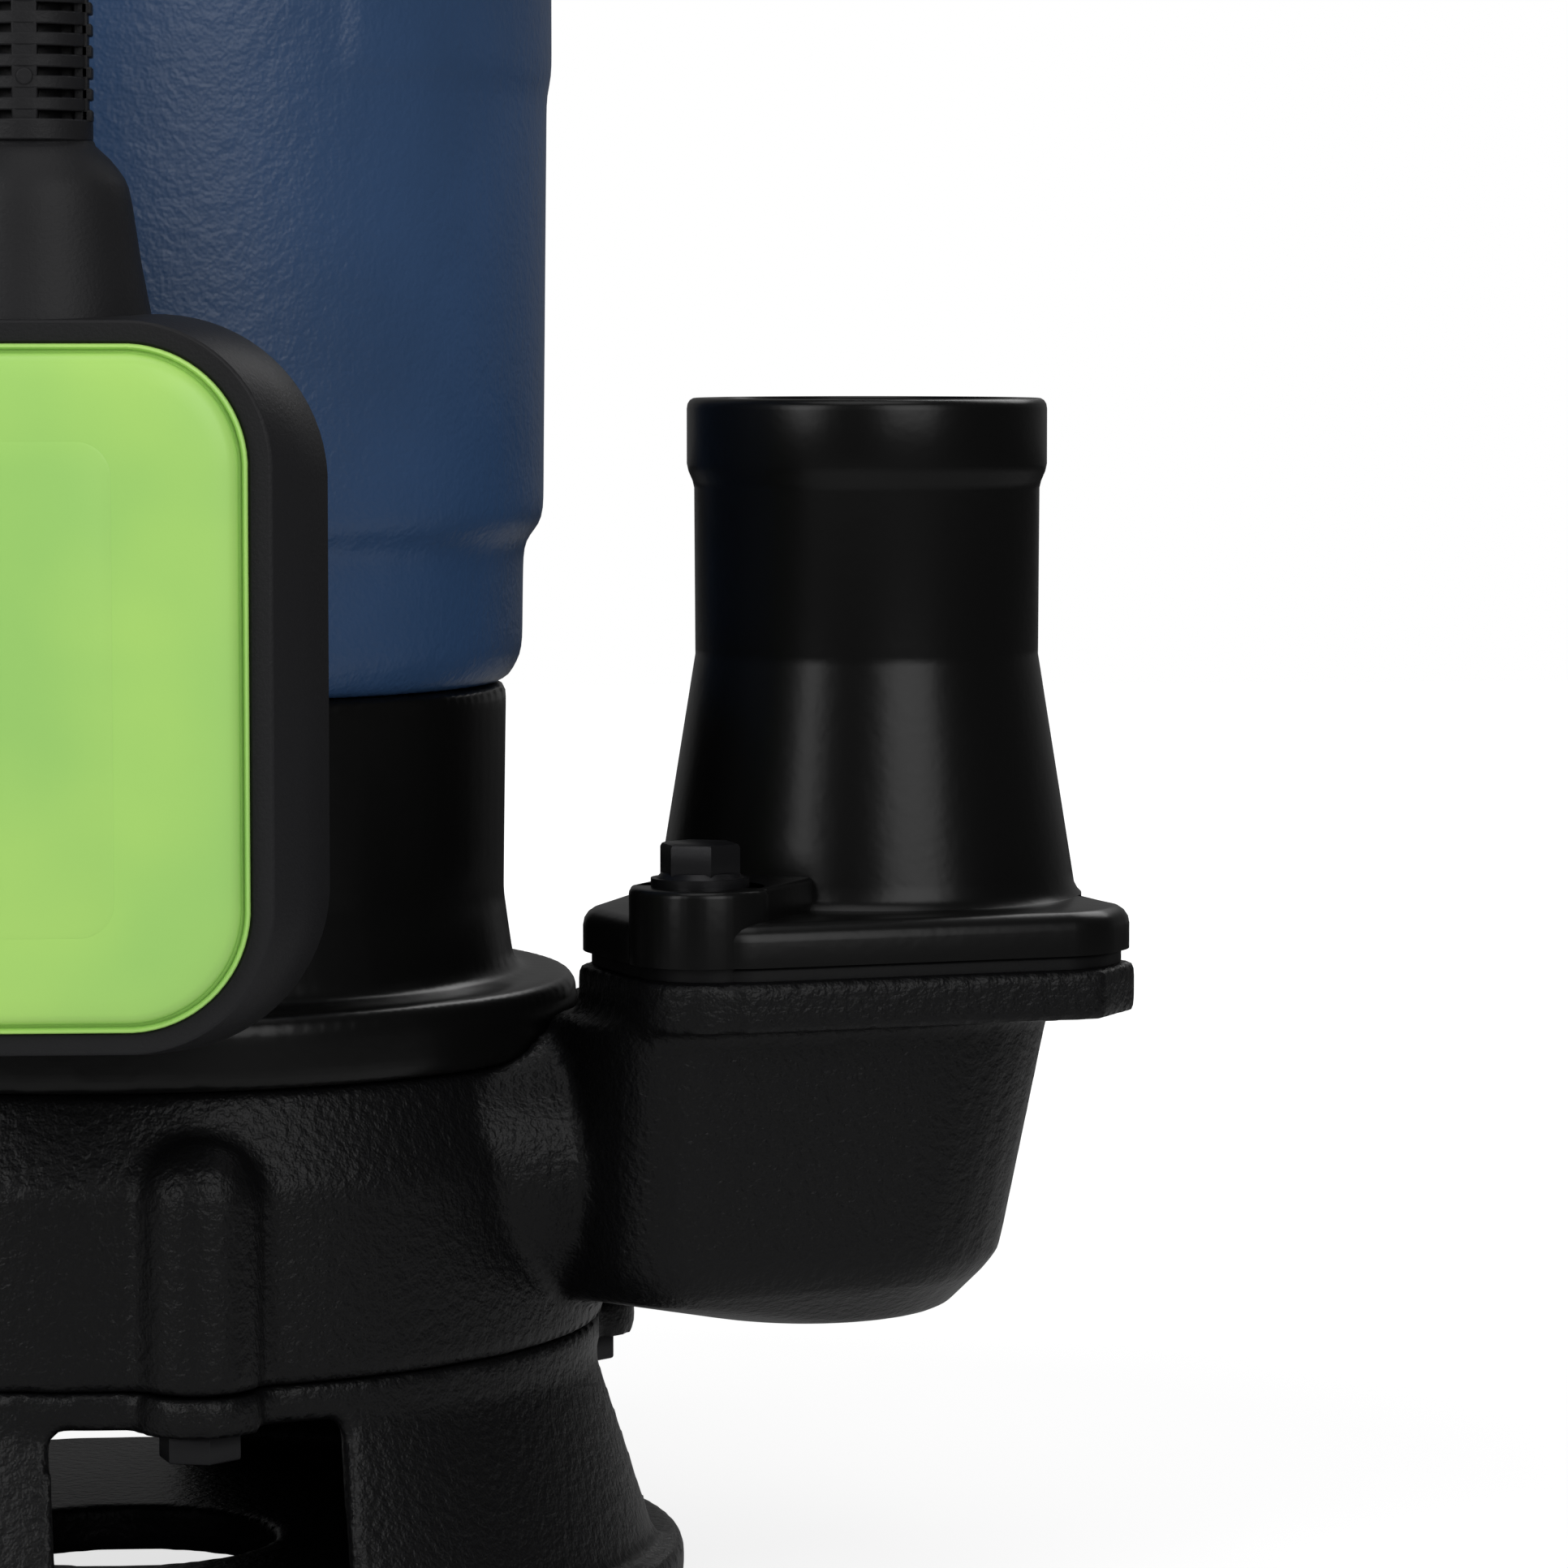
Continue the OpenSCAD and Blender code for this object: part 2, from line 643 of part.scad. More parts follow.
module seal_housing() {
    neck_top_r = neck_r + 0.6;
    color(cast_black) difference() {
        union() {
            rotate_extrude() polygon(concat(
                [[seal_r + fit, z_volute - spigot_h], [spigot_r, z_volute - spigot_h], [spigot_r, z_volute]],
                arc(disk_r - edge, z_volute + edge, edge, -90, 0, 4),
                arc(disk_r - 3, z_disk - 3, 3, 0, 90, 6),
                [[neck_r + 4.5, z_disk]], arc(neck_r + 4.5, z_disk + 3, 3, -90, -150, 4),
                [[neck_r, z_disk + 15], [neck_top_r, z_housing], [register_r - 0.1, z_housing],
                [register_r - 0.1, z_housing + register_h], [low_brg[1] + fit, z_housing + register_h],
                [low_brg[1] + fit, z_low_brg], [13, z_low_brg], [13, z_web + seat_depth],
                [seal_r + fit, z_web + seat_depth], [seal_r + fit, z_web], [oil_r, z_web],
                [oil_r, z_oil], [13, z_oil], [13, z_volute + seat_depth],
                [seal_r + fit, z_volute + seat_depth]]));
            rotate([0, 0, plug_turn]) translate([0, -neck_r + 2, plug_z]) rotate([90, 0, 0])
                cylinder(r = 9, h = plug_face - neck_r + 2);
        }
        rotate([0, 0, plug_turn]) translate([0, -oil_r + 3, plug_z]) rotate([90, 0, 0])
            cylinder(r = plug_r + fit, h = plug_face - oil_r + 3 + eps);
        translate([0, 0, clip_groove[0]]) cylinder(r = low_brg[1] + 1.4, h = clip_groove[1]);
        translate([0, 0, z_volute - eps]) ring(groove_r + ring_r + fit, groove_r - ring_r - fit, groove_h + eps);
        around(stud_count, cap_bc) translate([0, 0, z_volute - eps]) cylinder(r = m6_r + fit, h = oil_floor + 1 - 0.5);
        around(stud_count, cap_bc, 45) translate([0, 0, z_housing - 16]) cylinder(r = m6_r + fit, h = 16 + eps);
    }
}

module volute_o_ring() {
    color(rubber) translate([0, 0, z_volute + groove_h / 2]) o_ring(groove_r, ring_r);
}

module volute_screws() {
    color(steel) around(stud_count, cap_bc) {
        translate([0, 0, z_roof - cap6_h]) cylinder(r = head6_r, h = cap6_h);
        translate([0, 0, z_roof - eps]) cylinder(r = m6_r, h = volute_roof + oil_floor - 1 + eps);
    }
}

module oil_plug() {
    color(zinc) rotate([0, 0, plug_turn]) translate([0, -plug_face, plug_z]) rotate([90, 0, 0]) {
        translate([0, 0, -(plug_face - oil_r)]) cylinder(r = plug_r, h = plug_face - oil_r + eps);
        cylinder(r = 8, h = 1.5);
        translate([0, 0, 1.5 - eps / 2]) hexagon(head8_af, 5);
    }
}

// Mechanical seals: ceramic seats in the housing, sprung heads on the shaft
module seal_seats() {
    color(ceramic) for (z = [z_volute, z_web]) translate([0, 0, z + 0.1])
        ring(seal_r, shaft_r + 1, seat_depth - 0.1);
}

seal_head_r = 15.5;

module seal_head(h) {
    rotate_extrude() polygon([[shaft_r + 0.02, 0], [seal_head_r, 0], [seal_head_r, 3],
        [seal_head_r - 2, 3.6], [seal_head_r - 2, h * 0.4], [seal_head_r - 1, h * 0.45],
        [seal_head_r - 2, h * 0.5], [seal_head_r - 2, h - 4.2], [seal_head_r, h - 3.8],
        [seal_head_r, h - 1.5], [seal_head_r - 1.8, h - 1.3], [seal_head_r - 1.8, h], [shaft_r + 0.02, h]]);
}

module seal_heads() {
    color(zinc) {
        translate([0, 0, z_hub_top]) seal_head(z_volute - z_hub_top - 0.1);
        translate([0, 0, z_web - 24]) seal_head(23.9);
        translate([0, 0, z_web - 26]) ring(shaft_r + 2.5, shaft_r + 0.02, 2);
    }
}

// Deep groove ball bearings
function race_gap(b) = (b[1] - b[0]) * 0.17;
function pitch_r(b) = (b[0] + b[1]) / 2;

module bearing_race(b, inner) {
    mid = pitch_r(b);
    difference() {
        if (inner) ring(mid - race_gap(b), b[0] + 0.02, b[2]);
        else ring(b[1], mid + race_gap(b), b[2]);
        translate([0, 0, b[2] / 2]) rotate_extrude() translate([mid, 0]) circle(r = b[3] + fit, $fn = 48);
    }
}

module ball_set(b) {
    mid = pitch_r(b);
    translate([0, 0, b[2] / 2]) {
        around(b[4], mid) sphere(r = b[3], $fn = 32);
        difference() {
            translate([0, 0, -b[3] - 1]) ring(mid + race_gap(b) / 2, mid - race_gap(b) / 2, 2 * b[3] + 2);
            around(b[4], mid) sphere(r = b[3] + fit, $fn = 32);
        }
    }
}

module lower_bearing_outer() { color(steel) translate([0, 0, z_low_brg]) bearing_race(low_brg, false); }
module lower_bearing_inner() { color(steel) translate([0, 0, z_low_brg]) bearing_race(low_brg, true); }
module lower_ball_set() { color(steel) translate([0, 0, z_low_brg]) ball_set(low_brg); }
module upper_bearing_outer() { color(steel) translate([0, 0, z_top_brg]) bearing_race(top_brg, false); }
module upper_bearing_inner() { color(steel) translate([0, 0, z_top_brg]) bearing_race(top_brg, true); }
module upper_ball_set() { color(steel) translate([0, 0, z_top_brg]) ball_set(top_brg); }

module bearing_circlip() {
    color(zinc) translate([0, 0, clip_groove[0] + fit]) difference() {
        ring(low_brg[1] + 1.3, low_brg[1] - 3, clip_groove[1] - 2 * fit);
        translate([0, -low_brg[1], -eps]) rotate([0, 0, -90]) translate([-4, -5, 0]) cube([8, 10, 4]);
    }
}

// Shaft with its steps, from the impeller nut to the upper bearing
module motor_shaft() {
    color(steel) difference() {
        union() {
            translate([0, 0, z_shaft]) cylinder(r = impeller_bore_r - 2, h = z_hub - z_shaft + eps);
            translate([0, 0, z_hub]) cylinder(r = impeller_bore_r, h = z_hub_top - z_hub + eps);
            translate([0, 0, z_hub_top]) cylinder(r = shaft_r, h = z_low_brg + low_brg[2] - z_hub_top + eps);
            translate([0, 0, z_low_brg + low_brg[2]])
                cylinder(r = shaft_r + 3, h = z_stack - 10 - z_low_brg - low_brg[2] + eps);
            translate([0, 0, z_stack - 10]) cylinder(r = rotor_seat_r, h = stack_h + 20);
            translate([0, 0, z_stack_top + 10 - eps]) cylinder(r = top_shaft_r + 2, h = z_top_brg - z_stack_top - 10 + eps);
            translate([0, 0, z_top_brg - eps]) cylinder(r = top_shaft_r, h = top_brg[2] + 2);
        }
        impeller_key_block(fit);
    }
}

key_w = 5;
key_l = 16;

module impeller_key_block(gap) {
    translate([-key_w / 2 - gap, impeller_bore_r - key_w / 2 - gap, z_hub + 4 - gap])
        cube([key_w + 2 * gap, key_w + 2 * gap, key_l + 2 * gap]);
}

module impeller_key() { color(steel) impeller_key_block(0); }

// Open impeller: hub, disc and swept vanes
module impeller() {
    sweep_r = impeller_r * 0.55;
    color(iron_sheet) difference() {
        union() {
            translate([0, 0, z_hub]) cylinder(r = hub_r, h = z_hub_top - z_hub);
            translate([0, 0, z_disc]) cylinder(r = impeller_r, h = impeller_disc_t);
            translate([0, 0, z_disc - vane_h]) intersection() {
                ring(impeller_r, hub_r - 1, vane_h + eps);
                for (i = [0 : vanes - 1]) rotate([0, 0, 360 * i / vanes]) difference() {
                    translate([0, sweep_r, 0]) ring(sweep_r + vane_t / 2, sweep_r - vane_t / 2, vane_h + eps);
                    translate([-2 * impeller_r, -impeller_r, -eps]) cube([2 * impeller_r, 3 * impeller_r, vane_h + 3 * eps]);
                }
            }
        }
        translate([0, 0, z_hub - eps]) cylinder(r = impeller_bore_r + 0.02, h = z_hub_top - z_hub + 2 * eps);
        impeller_key_block(fit);
    }
}

module impeller_nut() {
    color(steel) translate([0, 0, z_hub - nut_h]) difference() {
        union() {
            hexagon(19, nut_h);
            translate([0, 0, nut_h - 3]) cylinder(r = 13, h = 3);
        }
        translate([0, 0, -eps]) cylinder(r = impeller_bore_r - 2 + 0.02, h = nut_h + 2 * eps);
    }
}

// Rotor and stator
module rotor_core() {
    color(iron_sheet) translate([0, 0, z_stack]) ring(rotor_r, rotor_seat_r + 0.02, stack_h);
}

module rotor_end_rings() {
    color(steel) for (z = [z_stack - 8, z_stack_top]) translate([0, 0, z]) ring(rotor_r - 1.5, rotor_seat_r + 7, 8);
}

slots = 24;
slot_r = rotor_r + 5;
slot_w = 5;
slot_d = 14;

module stator_core() {
    color(iron_sheet) translate([0, 0, z_stack]) difference() {
        ring(stator_r - fit, rotor_r + air_gap, stack_h);
        for (i = [0 : slots - 1]) rotate([0, 0, 360 * i / slots]) translate([slot_r, -slot_w / 2, -eps])
            cube([slot_d, slot_w, stack_h + 2 * eps]);
    }
}

module stator_windings() {
    gap = 0.3;
    color(copper) {
        for (i = [0 : slots - 1]) rotate([0, 0, 360 * i / slots])
            translate([slot_r + gap, -slot_w / 2 + gap, z_stack - 4])
            cube([slot_d - 2 * gap, slot_w - 2 * gap, stack_h + 8]);
        for (z = [z_stack - 12, z_stack_top + 0.5]) translate([0, 0, z]) rotate_extrude()
            polygon(concat(arc(slot_r + 4, 4, 3.6, 180, 270, 4), arc(slot_r + 18, 4, 3.6, 270, 360, 4),
                arc(slot_r + 18, 7.5, 3.6, 0, 90, 4), arc(slot_r + 4, 7.5, 3.6, 90, 180, 4)));
    }
}

// Motor casing: bottom flange, stator bore, nameplate pad and top flange
fillet_z = z_housing + band_h;
pad_t = 0.8;
pad_z = z_casing - 44;
pad_from = 33;
pad_to = 103;
cover_bc = top_flange_r - 6;

module motor_casing() {
    bottom_r = neck_r + 0.6;
    color(motor_blue) difference() {
        union() {
            rotate_extrude() polygon(concat([[register_r, z_housing], [bottom_r, z_housing], [band_r - 0.3, z_housing + 6],
                [band_r, fillet_z]], arc(casing_r, fillet_z, casing_r - band_r - 0.2, 180, 112, 5),
                [[casing_r, fillet_z + 5.2], [casing_top_r, z_casing - top_flange_t - 24],
                [casing_top_r, z_casing - top_flange_t], [top_flange_r - edge, z_casing - top_flange_t],
                [top_flange_r, z_casing - top_flange_t + edge], [top_flange_r, z_casing], [bracket_r, z_casing],
                [bracket_r, z_bracket], [stator_r, z_bracket], [stator_r, z_floor], [register_r, z_floor]]));
            rotate([0, 0, pad_from - 90]) rotate_extrude(angle = pad_to - pad_from)
                polygon([[casing_r - 3, pad_z], [casing_top_r + pad_t - 0.4, pad_z],
                [casing_top_r + pad_t, pad_z + 1], [casing_top_r + pad_t, z_casing - top_flange_t + eps],
                [casing_r - 3, z_casing - top_flange_t + eps]]);
        }
        translate([0, 0, z_housing - eps])
            ring(casing_ring_r + ring_r + fit, casing_ring_r - ring_r - fit, groove_h + eps);
        around(stud_count, cap_bc, 45) {
            translate([0, 0, z_housing - eps]) cylinder(r = m6_r + slip / 2, h = casing_floor + 2 * eps);
            translate([0, 0, z_floor - low6_h - 0.1]) cylinder(r = head6_r + slip / 2, h = low6_h + eps);
        }
        around(stud_count, cover_bc, 45) translate([0, 0, z_casing - top_flange_t - eps])
            cylinder(r = m6_r + fit, h = top_flange_t + 2 * eps);
        around(stud_count, bracket_bc) translate([0, 0, z_bracket - 12]) cylinder(r = m5_r + fit, h = 12 + eps);
    }
}

casing_ring_r = 66;

module casing_o_ring() { color(rubber) translate([0, 0, z_housing + groove_h / 2]) o_ring(casing_ring_r, ring_r); }

module casing_screws() {
    color(steel) around(stud_count, cap_bc, 45) {
        translate([0, 0, z_floor - low6_h]) cylinder(r = head6_r, h = low6_h);
        translate([0, 0, z_housing - 14]) cylinder(r = m6_r, h = z_floor - low6_h - z_housing + 14 + eps);
    }
}

// Bracket that carries the upper bearing, the capacitor's cradle and the terminals
m5_r = 2.5;
bracket_bc = stator_r + 3;
bracket_hub_r = 23;
cap_r = 18;
cap_l = 60;
cap_y = 43;
cap_z = z_bracket + bracket_t + cap_r + 0.3;

module bearing_bracket() {
    color(steel) difference() {
        union() {
            translate([0, 0, z_bracket]) cylinder(r = bracket_r - fit, h = bracket_t);
            translate([0, 0, z_top_brg - 3]) cylinder(r = bracket_hub_r, h = top_brg[2] + 6);
            for (s = [-1, 1]) translate([s * cap_l / 4 - 3, cap_y - 14, z_bracket + bracket_t - eps])
                cube([6, 28, 8 + eps]);
        }
        translate([0, 0, z_top_brg - 3 - eps]) cylinder(r = top_brg[1] + fit, h = top_brg[2] + 3 + eps);
        translate([0, 0, z_top_brg]) cylinder(r = top_brg[0] + 3, h = top_brg[2] + 4);
        translate([-cap_l, cap_y, cap_z]) rotate([0, 90, 0]) cylinder(r = cap_r + fit, h = 2 * cap_l);
        around(stud_count, bracket_bc) translate([0, 0, z_bracket - eps]) cylinder(r = m5_r + 0.3, h = bracket_t + 2 * eps);
        for (s = [-1, 1]) translate([s * 30, -58, z_bracket - eps]) cylinder(r = 7, h = bracket_t + 2 * eps);
    }
}

module bracket_screws() {
    color(steel) around(stud_count, bracket_bc) {
        translate([0, 0, z_bracket + bracket_t]) cylinder(r = m5_r, h = 3);
        translate([0, 0, z_bracket - 10]) cylinder(r = m5_r, h = 10 + bracket_t + eps);
    }
}

module capacitor() {
    color(plastic_black) translate([-cap_l / 2, cap_y, cap_z]) rotate([0, 90, 0]) {
        cylinder(r = cap_r, h = cap_l);
        for (s = [-1, 1]) translate([s * 6, 0, cap_l - eps]) cylinder(r = 2, h = 7);
    }
}

module terminal_block() {
    ways = 4;
    color(ceramic) translate([-block_l / 2, -46, z_bracket + bracket_t]) difference() {
        cube([block_l, block_w, block_h]);
        for (i = [0 : ways - 1]) translate([block_l * (i + 0.5) / ways, block_w / 2, 6])
            cylinder(r = 3, h = block_h);
    }
}

// Top cover with its handle pads and gland bosses
pad_size = [foot_w + 2, foot_l + 2];
dome_in_r = 70;
cover_spigot = 5;
gland_boss_r = 15;

module at_glands() {
    translate([float_x, gland_y, 0]) children();
    translate([power_gland[0], power_gland[1], 0]) children();
}

module top_cover() {
    z_in = z_cover - cover_roof;
    clip_face = -(top_flange_r - 1.5);
    color(motor_blue) difference() {
        union() {
            rotate_extrude() polygon(concat([[dome_in_r, z_casing - cover_spigot],
                [bracket_r - 0.1, z_casing - cover_spigot], [bracket_r - 0.1, z_casing],
                [top_flange_r, z_casing]], arc(top_flange_r - 2, z_casing + cover_flange_t - 2, 2, 0, 90, 4),
                [[cover_r + 2, z_casing + cover_flange_t], [cover_r, z_casing + cover_flange_t + 2]],
                arc(cover_r - 11, z_cover - 10, 10, 0, 90, 8), [[0, z_cover], [0, z_in]],
                arc(dome_in_r - 8, z_in - 8, 8, 90, 0, 6)));
            for (s = [-1, 1]) translate([s * handle_x - pad_size[0] / 2, -pad_size[1] / 2, z_cover - eps])
                cube([pad_size[0], pad_size[1], z_pad - z_cover + eps]);
            at_glands() translate([0, 0, z_in]) cylinder(r = gland_boss_r, h = z_gland - z_in);
            translate([float_x - 12, clip_face, z_casing + cover_flange_t - eps])
                cube([24, 18, z_cover - z_casing - cover_flange_t - 6]);
        }
        at_glands() translate([0, 0, z_in - eps]) cylinder(r = 8 + fit, h = z_gland - z_in + 2 * eps);
        around(stud_count, cover_bc, 45) translate([0, 0, z_casing - eps])
            cylinder(r = m6_r + slip, h = cover_flange_t + 2 * eps);
        for (x = [-1, 1], y = [-1, 1]) translate([x * handle_x, y * handle_bolt_y, z_in - eps])
            cylinder(r = m6_r + fit, h = z_pad - z_in + 2 * eps);
        translate([0, 0, z_casing - cover_spigot + 1]) ring(bracket_r + eps, bracket_r - 2.6, 2.6);
        for (s = [-1, 1]) translate([float_x + s * clip_screw_x, clip_face - eps, clip_screw_z]) rotate([-90, 0, 0])
            cylinder(r = m5_r + fit, h = 11);
    }
}

module cover_o_ring() {
    color(rubber) translate([0, 0, z_casing - cover_spigot + 2.3]) o_ring(bracket_r - 1.3, 1.25);
}

module cover_bolts() {
    color(zinc) around(stud_count, cover_bc, 45) {
        translate([0, 0, z_casing + cover_flange_t]) hexagon(head6_af, head6_h);
        translate([0, 0, z_casing - top_flange_t]) cylinder(r = m6_r, h = top_flange_t + cover_flange_t + eps);
    }
}

// Cable glands: body screwed into the cover, clamping bush and dome nut
module gland_bodies() {
    color(plastic_black) at_glands() difference() {
        union() {
            translate([0, 0, z_cover - cover_roof - 3]) cylinder(r = 8, h = z_gland - z_cover + cover_roof + 3 + eps);
            translate([0, 0, z_gland]) hexagon(gland_af, gland_hex_h);
            translate([0, 0, z_gland + gland_hex_h - eps]) cylinder(r = gland_neck_r, h = gland_neck_h + eps);
        }
        translate([0, 0, z_cover - cover_roof - 4]) cylinder(r = gland_bore_r, h = 60);
        translate([0, 0, z_gland_nut]) cylinder(r = bush_r + fit, h = 40);
    }
}

module gland_nuts() {
    color(plastic_black) at_glands() difference() {
        union() {
            translate([0, 0, z_gland_nut]) hexagon(gland_af, gland_nut_h - 5);
            translate([0, 0, z_gland_nut]) cylinder(r = gland_af / 2, h = gland_nut_h - 3);
            translate([0, 0, z_gland_top - 3 - eps]) cylinder(r1 = gland_af / 2, r2 = gland_af / 2 - 4, h = 3 + eps);
        }
        translate([0, 0, z_gland_nut - eps]) cylinder(r = gland_neck_r + fit, h = gland_neck_h + eps);
        translate([0, 0, z_gland_nut]) cylinder(r = bush_r + 2 * fit, h = gland_nut_h - 2);
        translate([0, 0, z_gland_nut]) cylinder(r = gland_mouth_r, h = gland_nut_h + eps);
    }
}

module gland_bushes() {
    color(rubber) {
        translate([float_x, gland_y, z_gland_nut]) cylinder(r = bush_r, h = gland_nut_h - 2);
        translate([power_gland[0], power_gland[1], z_gland_nut]) ring(bush_r, bush_bore_r, gland_nut_h - 2);
    }
}

// Handle: bent bar on two foot plates
foot_t = 5;
handle_bolt_y = 16;

module handle() {
    span = handle_x - handle_bend;
    z_bend = z_cover + handle_h - handle_r - handle_bend;
    color(motor_blue) difference() {
        union() {
            for (s = [-1, 1]) {
                translate([s * handle_x - foot_w / 2, -foot_l / 2, z_pad]) cube([foot_w, foot_l, foot_t]);
                translate([s * handle_x, 0, z_pad + foot_t - eps])
                    cylinder(r = handle_r, h = z_bend - z_pad - foot_t + eps);
                translate([s * span, 0, z_bend]) rotate([90, 0, 0]) rotate([0, 0, s > 0 ? 0 : 90])
                    rotate_extrude(angle = 90) translate([handle_bend, 0]) circle(r = handle_r, $fn = 48);
            }
            translate([-span, 0, z_bend + handle_bend]) rotate([0, 90, 0]) cylinder(r = handle_r, h = 2 * span);
        }
        for (x = [-1, 1], y = [-1, 1]) translate([x * handle_x, y * handle_bolt_y, z_pad - eps])
            cylinder(r = m6_r + slip, h = foot_t + 2 * eps);
    }
}

module handle_bolts() {
    color(zinc) for (x = [-1, 1], y = [-1, 1]) translate([x * handle_x, y * handle_bolt_y, 0]) {
        translate([0, 0, z_pad + foot_t]) hexagon(head6_af, head6_h);
        translate([0, 0, z_cover - cover_roof]) cylinder(r = m6_r, h = z_pad + foot_t - z_cover + cover_roof + eps);
    }
}

// Outlet: gasket, adapter with its G2 thread, bolts
module outlet_gasket() {
    color(rubber) at_outlet() translate([0, 0, z_seat]) difference() {
        flange_plan(gasket_t);
        translate([0, 0, -eps]) cylinder(r = cone_bore_r, h = gasket_t + 2 * eps);
        at_bosses() translate([0, 0, -eps]) cylinder(r = m8_r + slip, h = gasket_t + 2 * eps);
    }
}

module outlet_adapter() {
    chamfer = 4;
    lip = 1.5;
    color(cast_black) at_outlet() difference() {
        union() {
            translate([0, 0, z_up_flange]) flange_plan(up_flange_t);
            at_bosses() translate([0, 0, z_flange_top - eps]) {
                cylinder(r = boss_r, h = boss_pad + eps);
                linear_extrude(height = boss_pad + eps) polygon([[boss_r - 4, -boss_r + 3.6],
                    [boss_u - 25, boss_n - 33.5], [boss_u - 15, boss_n - 20], [boss_u - 38, boss_n - 8],
                    [-boss_r + 1, 6]]);
            }
            rotate_extrude() polygon([[0, z_up_flange], [cone_r, z_up_flange], [cone_r, z_flange_top],
                [cone_r + 0.6, z_flange_top], [cone_r - 1.6, z_flange_top + 3], [pipe_r, z_cone_top],
                [pipe_r + 0.2, z_collar], [collar_r, z_collar + chamfer], [collar_r, z_outlet - lip],
                [collar_r - lip / 2, z_outlet - lip / 3], [collar_r - lip, z_outlet], [0, z_outlet]]);
        }
        rotate_extrude() polygon([[0, z_up_flange - eps], [cone_bore_r, z_up_flange - eps],
            [cone_bore_r, z_flange_top], [pipe_bore_r, z_cone_top], [pipe_bore_r, z_outlet - thread_l],
            [thread_r, z_outlet - thread_l], [thread_r, z_outlet + eps], [0, z_outlet + eps]]);
        at_bosses() translate([0, 0, z_up_flange - eps])
            cylinder(r = m8_r + slip, h = up_flange_t + boss_pad + 2 * eps);
    }
}

module outlet_bolts() {
    z_head = z_flange_top + boss_pad;
    color(zinc) at_outlet() at_bosses() {
        translate([0, 0, z_head]) cylinder(r = 9, h = 1.6);
        translate([0, 0, z_head + 1]) cylinder(r1 = 8.6, r2 = 7, h = 1.6);
        translate([0, 0, z_head + 1]) hexagon(head8_af, 7);
        translate([0, 0, z_head - outlet_bolt_l]) cylinder(r = m8_r, h = outlet_bolt_l + eps);
    }
}

// Check valve: rubber flap with a steel weight, hinged on a pin
seat_gap = 0.2;
knuckle_r = 3.6;
knuckle_w = ear_gap - 0.6;

module flap_disc() {
    color(rubber) at_outlet() difference() {
        union() {
            translate([0, 0, z_seat + seat_gap]) cylinder(r = flap_r, h = flap_t);
            translate([-hinge_u, 0, z_pin]) rotate([90, 0, 0]) cylinder(r = knuckle_r, h = knuckle_w, center = true);
            translate([-hinge_u, -knuckle_w / 2, z_seat + seat_gap]) cube([hinge_u - flap_r + 8, knuckle_w, flap_t]);
        }
        translate([-hinge_u, 0, z_pin]) rotate([90, 0, 0]) cylinder(r = pin_r + fit, h = knuckle_w + 2, center = true);
        translate([0, 0, z_seat]) cylinder(r = 3 + fit, h = 10);
    }
}

module flap_plate() {
    color(steel) at_outlet() {
        translate([0, 0, z_seat + seat_gap + flap_t]) cylinder(r = flap_r - 6, h = 2);
        translate([0, 0, z_seat + seat_gap]) cylinder(r = 3, h = flap_t + 3.5);
    }
}

module flap_pin() {
    color(steel) at_outlet() translate([-hinge_u, 0, z_pin]) rotate([90, 0, 0])
        cylinder(r = pin_r, h = ear_gap + 2 * ear_t, center = true);
}

// Lead clip: bracket on the cover that holds the float's lead above its pivot
clip_screw_x = 7;
clip_screw_z = z_casing + cover_flange_t + 9;
clip_t = 3;

module lead_clip() {
    face = -(top_flange_r - 1.5);
    color(steel) difference() {
        union() {
            translate([float_x - 12, face - clip_t, z_casing + cover_flange_t + 1])
                cube([24, clip_t, z_clip + clip_h - z_casing - cover_flange_t - 1]);
            translate([float_x - 5, float_y, z_clip]) cube([10, face - clip_t - float_y + eps, clip_h]);
            translate([float_x, float_y, z_clip]) cylinder(r = lead_r + 3.5, h = clip_h);
        }
        translate([float_x, float_y, z_clip - eps]) cylinder(r = lead_r + fit, h = clip_h + 2 * eps);
        for (s = [-1, 1]) translate([float_x + s * clip_screw_x, face - clip_t - eps, clip_screw_z]) rotate([-90, 0, 0])
            cylinder(r = m5_r + 0.3, h = clip_t + 2 * eps);
    }
}

module lead_clip_screws() {
    face = -(top_flange_r - 1.5);
    color(zinc) for (s = [-1, 1]) translate([float_x + s * clip_screw_x, face - clip_t, clip_screw_z]) rotate([-90, 0, 0]) {
        translate([0, 0, -2.6]) cylinder(r = 4.2, h = 2.6);
        translate([0, 0, -eps]) cylinder(r = m5_r, h = 12 + eps);
    }
}

// Float lead: swept along its route from the gland to the clip, then straight to the float
function lead_points() = [for (p = lead_route) [float_x + p[0], gland_y + p[1], z_gland_top - lead_in + p[2]]];
function unit(v) = v / norm(v);
function route_dir(pts, i) = unit(pts[min(i + 1, len(pts) - 1)] - pts[max(i - 1, 0)]);

module tube(pts, r, sides) {
    across = [1, 0, 0];
    n = len(pts);
    verts = [for (i = [0 : n - 1]) let (t = i == 0 ? [0, 0, 1] : i == n - 1 ? [0, 0, -1] : route_dir(pts, i),
        up = cross(t, across)) for (k = [0 : sides - 1]) pts[i] + r * (cos(360 * k / sides) * across
        + sin(360 * k / sides) * up)];
    sides_faces = [for (i = [0 : n - 2], k = [0 : sides - 1]) let (a = i * sides + k,
        b = i * sides + (k + 1) % sides) each [[b, a, a + sides], [b, a + sides, b + sides]]];
    polyhedron(points = verts, faces = concat([[for (k = [0 : sides - 1]) k]], sides_faces,
        [[for (k = [sides - 1 : -1 : 0]) (n - 1) * sides + k]]));
}

module float_lead_upper() { color(rubber) tube(lead_points(), lead_r, lead_sides); }

